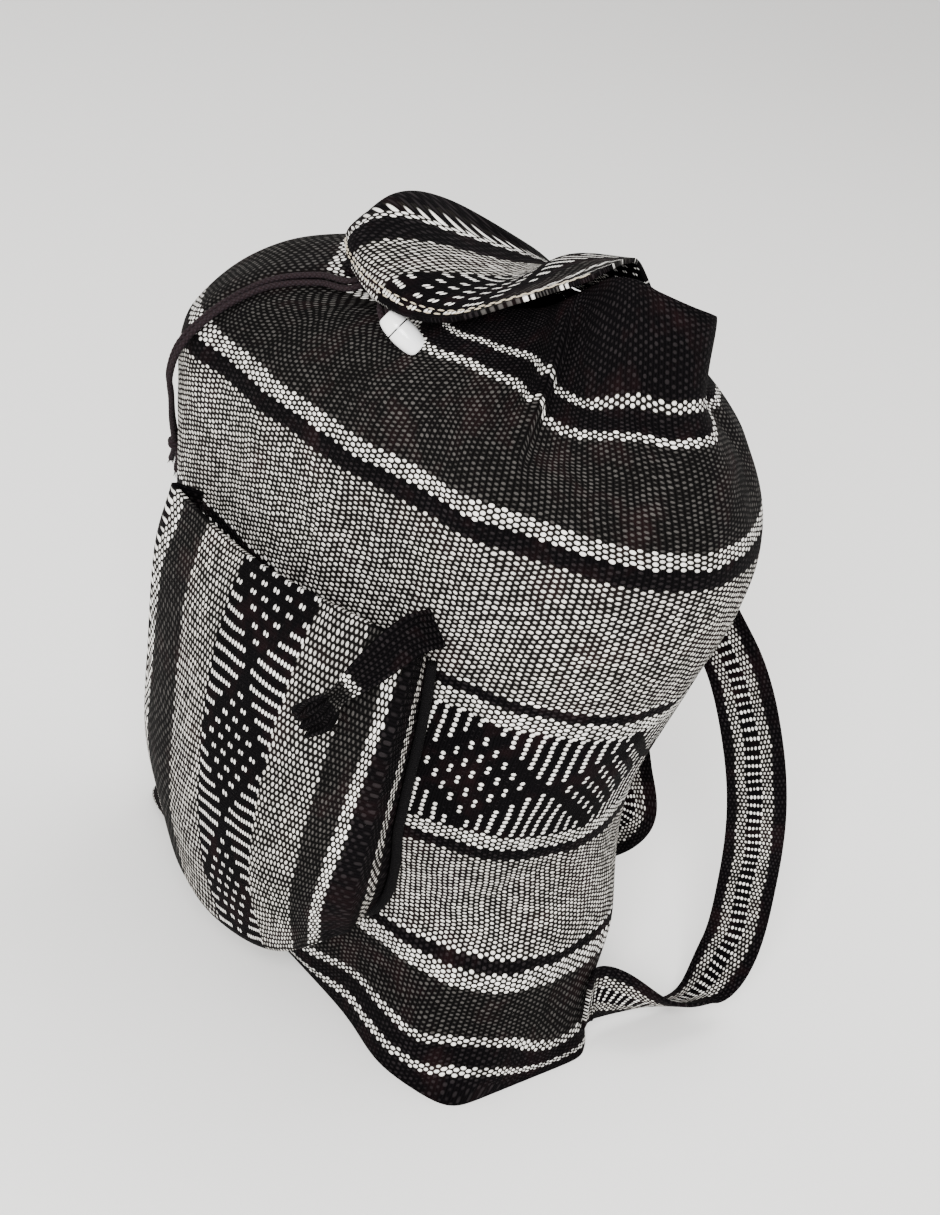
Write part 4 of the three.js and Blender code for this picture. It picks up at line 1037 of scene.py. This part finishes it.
# drawstring
def bead_piece(colour):
    """The bead: an oval turned profile with bored ends and one groove."""
    R, bore, L = BEAD_WIDE / 2 - 0.3, BEAD_BORE / 2, BEAD_LENGTH / 2 + 2.0
    sides = 56
    x = np.sin(np.linspace(-math.pi / 2, math.pi / 2, 49))
    oval = bore + 0.2 + (R - bore - 0.2) * np.maximum(1 - x**2, 0) ** 0.55
    oval = oval - 0.30 * np.exp(-(((x * L - BEAD_GROOVE) / 0.42) ** 2))
    ends = [[bore, L * 0.965], [bore - 0.2, L * 0.5], [bore - 0.2, -L * 0.5]]
    profile = np.concatenate([[[bore, -L * 0.965]], np.stack([oval, x * L], -1), ends])
    way = unit(np.cross(BEAD_AXIS, [0, 0, 1]))
    a = np.arange(sides) / sides * 2 * math.pi
    ring = np.cos(a)[:, None] * way + np.sin(a)[:, None] * np.cross(BEAD_AXIS, way)
    P = BEAD_AT + profile[:, None, 1:] * BEAD_AXIS + profile[:, None, :1] * ring[None]
    quads, _ = grid_faces(len(P) + 1, sides, True)
    quads = (quads % (len(P) * sides))[:, ::-1].tolist()
    glass = glazed_bead("pressed glass bead", colour, BEAD_AXIS, BEAD_AT / 1000)
    cloth = np.zeros((len(quads) * 4, 2))
    return mesh_piece("oval_bead", P.reshape(-1, 3), quads, cloth, glass, replaced=["bead"], slot="bead")


def knot_piece(p, d, w, v, braid):
    """The knot: the doubled cord wound round itself and pulled tight."""
    turns = np.linspace(0, 1, 150)
    swell = np.sin(math.pi * np.clip(turns * 1.04 - 0.02, 0, 1)) ** 0.5
    angle = turns * 2 * math.pi * 2.75
    lean = 1.3 * np.sin(angle + 0.6)
    coil = p + d * (KNOT_LONG / 2 + 0.4) + ((turns - 0.5) * 7.0 + lean)[:, None] * d
    coil = coil + (np.cos(angle) * swell * 2.9)[:, None] * w + (np.sin(angle) * swell * 2.7)[:, None] * v
    return tube_piece(
        "drawstring_knot_wraps", coil, 1.85, braid, sides=12, plait=0.10,
        replaced=["drawstring_knot"], slot="cord"
    )


def end_piece(name, line, braid, rng, fray):
    """One end of the cord below the knot, with its frayed fibres."""
    t = np.linspace(0, 1, 60)
    path = route(line, t)
    end = tube_piece(
        "drawstring_end_" + name, path[:50], CORD / 2, braid, plait=PLAIT,
        taper=np.interp(t[:50], [0, 0.6, 0.83], [1, 1.0, 1.12]),
        replaced=["drawstring_tail_" + name], slot="cord"
    )
    tip, way = path[48], unit(path[49] - path[44])
    sideways = unit(np.cross(way, [0.3, 0.5, 0.8]))
    other = np.cross(way, sideways)
    fibres = []
    for k in range(FIBRES):
        a = rng.uniform(0, 2 * math.pi)
        r = 1.35 * math.sqrt(rng.uniform(0, 1))
        spread = rng.uniform(0.05, 0.34)
        out = math.cos(a) * sideways + math.sin(a) * other
        long = fray * rng.uniform(0.5, 1.0)
        q = np.linspace(0, 1, 9)[:, None]
        fibre = tip + out * r + way * q * long + out * spread * long * q**2
        fibres.append(
            tube_piece(f"fray_{name}_{k}", fibre, 0.20, braid, sides=5, taper=np.linspace(1, 0.5, 9))
        )
    joined([end, *fibres])
    return end


# pocket's tape and tab
TAPE_RADIUS, TAPE_OUT = 2.6, 1.4
# places on the tab's route: x and z as shares of width and height, distance off the sack, and width
TAB_ROUTE = (
    (0.270, 0.606, 4.5, 19), (0.268, 0.606, 20, 19), (0.256, 0.575, 38, 16), (0.226, 0.534, 43, 9.5),
    (0.198, 0.500, 42, 17), (0.172, 0.474, 41.5, 14),
)
TAB_WALL = 2.2


def tape_path():
    """The tape's route down the pocket's right side and along its foot."""
    away = TAPE_RADIUS + POCKET_WALL * 0.5 + TAPE_OUT
    spots = [("right", k / 10, 1, 0) for k in range(9)]
    spots += [("right", 0.93, 0.95, -0.30), ("bottom", 0.98, 0.55, -0.83)]
    spots += [("bottom", 0.93 - k / 8 * 0.90, 0.12, -1) for k in range(1, 9)]
    path = []
    for side, t, dx, dz in spots:
        foot = row_curve(np.array(POCKET_FOOT[side]) * [BAG_WIDTH, BAG_HEIGHT], [t])[0]
        x, z = foot + np.array([dx, dz]) * away
        path.append([x, wall_at(x, z) - TAPE_RADIUS - SEAM_GAP - 0.5, z])
    return path


def tab_grid(t, s):
    """Outer face of the closing tab, creased where it is narrow and ruffled at its end, and its cloth."""
    flat = [(x * BAG_WIDTH, z * BAG_HEIGHT, out) for x, z, out, _ in TAB_ROUTE]
    line = [[x, wall_at(x, z) - out, z] for x, z, out in flat]
    centre, along = route(line, t), direction(line, t)
    last = len(TAB_ROUTE) - 1
    wide = through(t * last, np.arange(last + 1), [q[3] for q in TAB_ROUTE])
    side = np.array([0.72, 0.12, -0.62])
    side = unit(side - along * (along @ side)[:, None])
    crease = 0.8 * np.cos(s[None] * 7.5) * ease(1.4 - wide / 18)[:, None]
    crease = crease + 1.5 * np.sin(10 * s[None] + 13 * t[:, None]) * ease((t - 0.58) / 0.2)[:, None]
    across = side[:, None] * (s[None, :, None] * wide[:, None, None] / 2)
    P = centre[:, None] + across + np.cross(along, side)[:, None] * (1.2 + crease[..., None])
    return P, crossed(((s + 1) * 0.012)[None], lengths(centre)[:, None] / 1000)


# operators
class BACKPACK_OT_stage(bpy.types.Operator):
    """Camera at the photograph's angle, pale floor and soft light"""
    bl_idname = "backpack.stage"
    bl_label = "Stage"

    def execute(self, context):
        scene = context.scene
        camera = photo_camera()
        scene.collection.objects.link(camera)
        scene.camera = camera
        floor = paper_floor()
        scene.collection.objects.link(floor)
        world = bpy.data.worlds.new("studio")
        scene.world = world
        world.use_nodes = True
        world.node_tree.nodes["Background"].inputs[0].default_value = linear("#f6f5f3")
        world.node_tree.nodes["Background"].inputs[1].default_value = 1.15
        for name, place, size, power in LAMPS:
            lamp = bpy.data.lights.new(name, "AREA")
            lamp.size, lamp.energy = size, power
            light = bpy.data.objects.new(name, lamp)
            light.location = place
            light.rotation_euler = (CAMERA_TARGET - Vector(place)).to_track_quat("-Z", "Y").to_euler()
            scene.collection.objects.link(light)
        return {"FINISHED"}


class BACKPACK_OT_drawstring(bpy.types.Operator):
    """Two braided strands, the bead they run through, their knot and frayed ends"""
    bl_idname = "backpack.drawstring"
    bl_label = "Drawstring"

    def execute(self, context):
        sizes, colours = context.scene.backpack_sizes, context.scene.backpack_colours
        braid = braided_cotton("braided cotton cord", tuple(colours.cord))
        bead = bead_piece(tuple(colours.bead))
        places, _ = cord_middle()
        last = np.array([1.0])
        p, d = route(places, last)[0], direction(places, last)[0]
        w = unit(np.cross([0.25, 0.9, 0.1], d))
        ends = [knot_piece(p, d, w, np.cross(d, w), braid)]
        start = p + d * (KNOT_LONG + 0.45)
        rng = np.random.default_rng(7)
        for name, side, bend in (("a", 1, 1.0), ("b", -1, 0.7)):
            at = lambda down, off, out: start + d * down + w * side * off + np.array([-out, -out * 0.6, 0])
            line = [at(0, 2.1, 0) - d * 2.0, at(7, 3.2, 1), at(14, 4.2 * bend, 2), at(21, 6 * bend, 2.5)]
            ends.append(end_piece(name, line, braid, rng, sizes.fray * 1000))
        for name, side in (("a", 1), ("b", -1)):
            path = route(strand(side), np.linspace(0, 1, 420))
            cord = tube_piece(
                "drawstring_braid_" + name, path, CORD / 2, braid, plait=PLAIT,
                replaced=["drawstring_strand_" + name], slot="cord"
            )
        return {"FINISHED"}


class BACKPACK_OT_sack(bpy.types.Operator):
    """The gathered sack of striped cloth with its open mouth and sewn base"""
    bl_idname = "backpack.sack"
    bl_label = "Sack"

    def execute(self, context):
        slack = max(context.scene.backpack_sizes.slack, 1e-6)
        cloth = woven_cloth("handwoven cotton, sack", SACK_STRIPES, figured=(62, 26))
        columns = 400
        bands = [np.linspace(0, 30, 12), np.linspace(30, 330, 86), np.linspace(330, CLOTH_TOP, 52)]
        heights = np.unique(np.concatenate(bands))
        u = np.arange(columns) / columns
        P = np.stack([body_row(u, h, slack) for h in heights])
        P[0, :, 2] = 0
        # cloth is neither stretched nor squeezed where it lifts over the front corner of the base
        steps = np.cumsum(np.linalg.norm(np.diff(P, axis=0), axis=2), axis=0)
        run = np.concatenate([np.zeros((1, columns)), steps])
        h, near = heights[:, None], np.clip(1.15 * bump(u, CORNER_AT, 0.062), 0, 1)[None]
        sag = 9 * bump(u, 0.212, 0.032)[None] * ease(h / 14) * (1 - ease((h - 30) / 40))
        up = h + (run - h) * near * (1 - ease((h - 58) / 24)) - sag
        # the pleat under the flap takes up a few rows
        pleat = ease((u - 0.118) / 0.006) * (1 - ease((u - 0.132) / 0.07))
        up = up + 11 * pleat[None] * ease((h - 352) / 24)
        up = np.concatenate([up, up[:, :1]], 1)
        place = crossed((np.arange(columns + 1) / columns * GIRTH / 1000)[None], up / 1000)
        shell_piece(
            "striped_sack", P, place, CLOTH_WALL, cloth, closed=True, floor=True, thin_rows=3,
            replaced=["body"], slot="striped_cloth"
        )
        return {"FINISHED"}


class BACKPACK_OT_pocket(bpy.types.Operator):
    """The front pocket with its binding and closing tab"""
    bl_idname = "backpack.pocket"
    bl_label = "Pocket"

    def execute(self, context):
        cloth = woven_cloth("handwoven cotton, pocket", POCKET_STRIPES, figured=(30, 24))
        grid, place = pocket_grid(128, 96, 12)
        shell_piece(
            "striped_pocket", grid, place / 1000, POCKET_WALL, cloth,
            replaced=["pocket"], slot="pocket_cloth"
        )
        tape = rolled_cloth("folded cotton tape", tuple(context.scene.backpack_colours.black))
        tube_piece(
            "pocket_edge_tape", route(tape_path(), np.linspace(0, 1, 260)), TAPE_RADIUS, tape,
            replaced=["pocket_binding"], slot="binding"
        )
        P, place = tab_grid(np.linspace(0, 1, 90), np.linspace(-1, 1, 25))
        charcoal = woven_cloth("handwoven cotton, tab", TAB_STRIPES)
        tab = shell_piece(
            "closing_tab", P[:, ::-1], place[:, ::-1], TAB_WALL, charcoal,
            replaced=["pocket_tab"], slot="tab_cloth"
        )
        return {"FINISHED"}


class BACKPACK_OT_flap(bpy.types.Operator):
    """The striped flap folded forward over the mouth, with its sewn hem"""
    bl_idname = "backpack.flap"
    bl_label = "Flap"

    def execute(self, context):
        cloth = woven_cloth("handwoven cotton, flap", FLAP_STRIPES, figured=(23, 24), pick=0.0026)
        s, t = np.linspace(0, 1, 161), np.linspace(0, 1, 121)
        P = patch(flap_face(), s, t)
        rows = np.concatenate([[0], np.cumsum([n for n, _ in FLAP_STRIPES])])
        # the cloth lies askew: its stripes drift to the right towards the back
        drift = 0.40 * ease((0.96 - t) / 0.60)[:, None]
        across = np.interp(s[None] - drift, [-0.42, *FLAP_EDGES, 1], rows) * ROW
        place = crossed((lengths(P.mean(1)) / 1000)[:, None], across / 1000)
        flap = shell_piece(
            "striped_flap", P[::-1], place[::-1], FLAP_WALL, cloth, replaced=["flap"], slot="flap_cloth"
        )
        thread = sewing_thread("undyed cotton thread", tuple(context.scene.backpack_colours.thread))
        # two rows of stitches hold the turned hem
        out = grid_normals(P[::-1], False)[::-1]
        rows = [P[k] + out[k] * 0.15 for k in (-5, -8)]
        hem = stitch_piece("flap_hem_stitches", rows, 3.4, 1.8, 0.42, thread)
        return {"FINISHED"}


class BACKPACK_OT_straps(bpy.types.Operator):
    """The two woven belts sewn to the back and the low corners"""
    bl_idname = "backpack.straps"
    bl_label = "Straps"

    def execute(self, context):
        belt = woven_cloth("warp-faced cotton belt", BELT_STRIPES, pick=0.0024, row=0.0020)
        belt_piece("woven_belt_right", STRAP_RIGHT, 520, belt, replaced=["strap_right"], slot="belt")
        belt_piece("woven_belt_left", STRAP_LEFT, 520, belt, replaced=["strap_left"], slot="belt")
        return {"FINISHED"}


class BACKPACK_PT_panel(bpy.types.Panel):
    bl_idname = "BACKPACK_PT_panel"
    bl_label = "Backpack"
    bl_space_type = "VIEW_3D"
    bl_region_type = "UI"
    bl_category = "Backpack"

    def draw(self, context):
        for group in (context.scene.backpack_sizes, context.scene.backpack_colours):
            box = self.layout.box()
            for name in group.__annotations__:
                box.prop(group, name)
        for step in STEPS:
            self.layout.operator(step.bl_idname)


STEPS = (
    BACKPACK_OT_stage, BACKPACK_OT_drawstring, BACKPACK_OT_sack, BACKPACK_OT_pocket,
    BACKPACK_OT_flap, BACKPACK_OT_straps,
)
CLASSES = (BackpackSizes, BackpackColours, *STEPS, BACKPACK_PT_panel)


def register():
    for made in CLASSES:
        bpy.utils.register_class(made)
    bpy.types.Scene.backpack_sizes = bpy.props.PointerProperty(type=BackpackSizes)
    bpy.types.Scene.backpack_colours = bpy.props.PointerProperty(type=BackpackColours)


def unregister():
    del bpy.types.Scene.backpack_sizes, bpy.types.Scene.backpack_colours
    for made in reversed(CLASSES):
        bpy.utils.unregister_class(made)


def main():
    register()
    for step in (
        bpy.ops.backpack.stage, bpy.ops.backpack.drawstring, bpy.ops.backpack.sack,
        bpy.ops.backpack.pocket, bpy.ops.backpack.flap, bpy.ops.backpack.straps,
    ):
        step()
    bpy.context.view_layer.update()


if __name__ == "__main__":
    main()
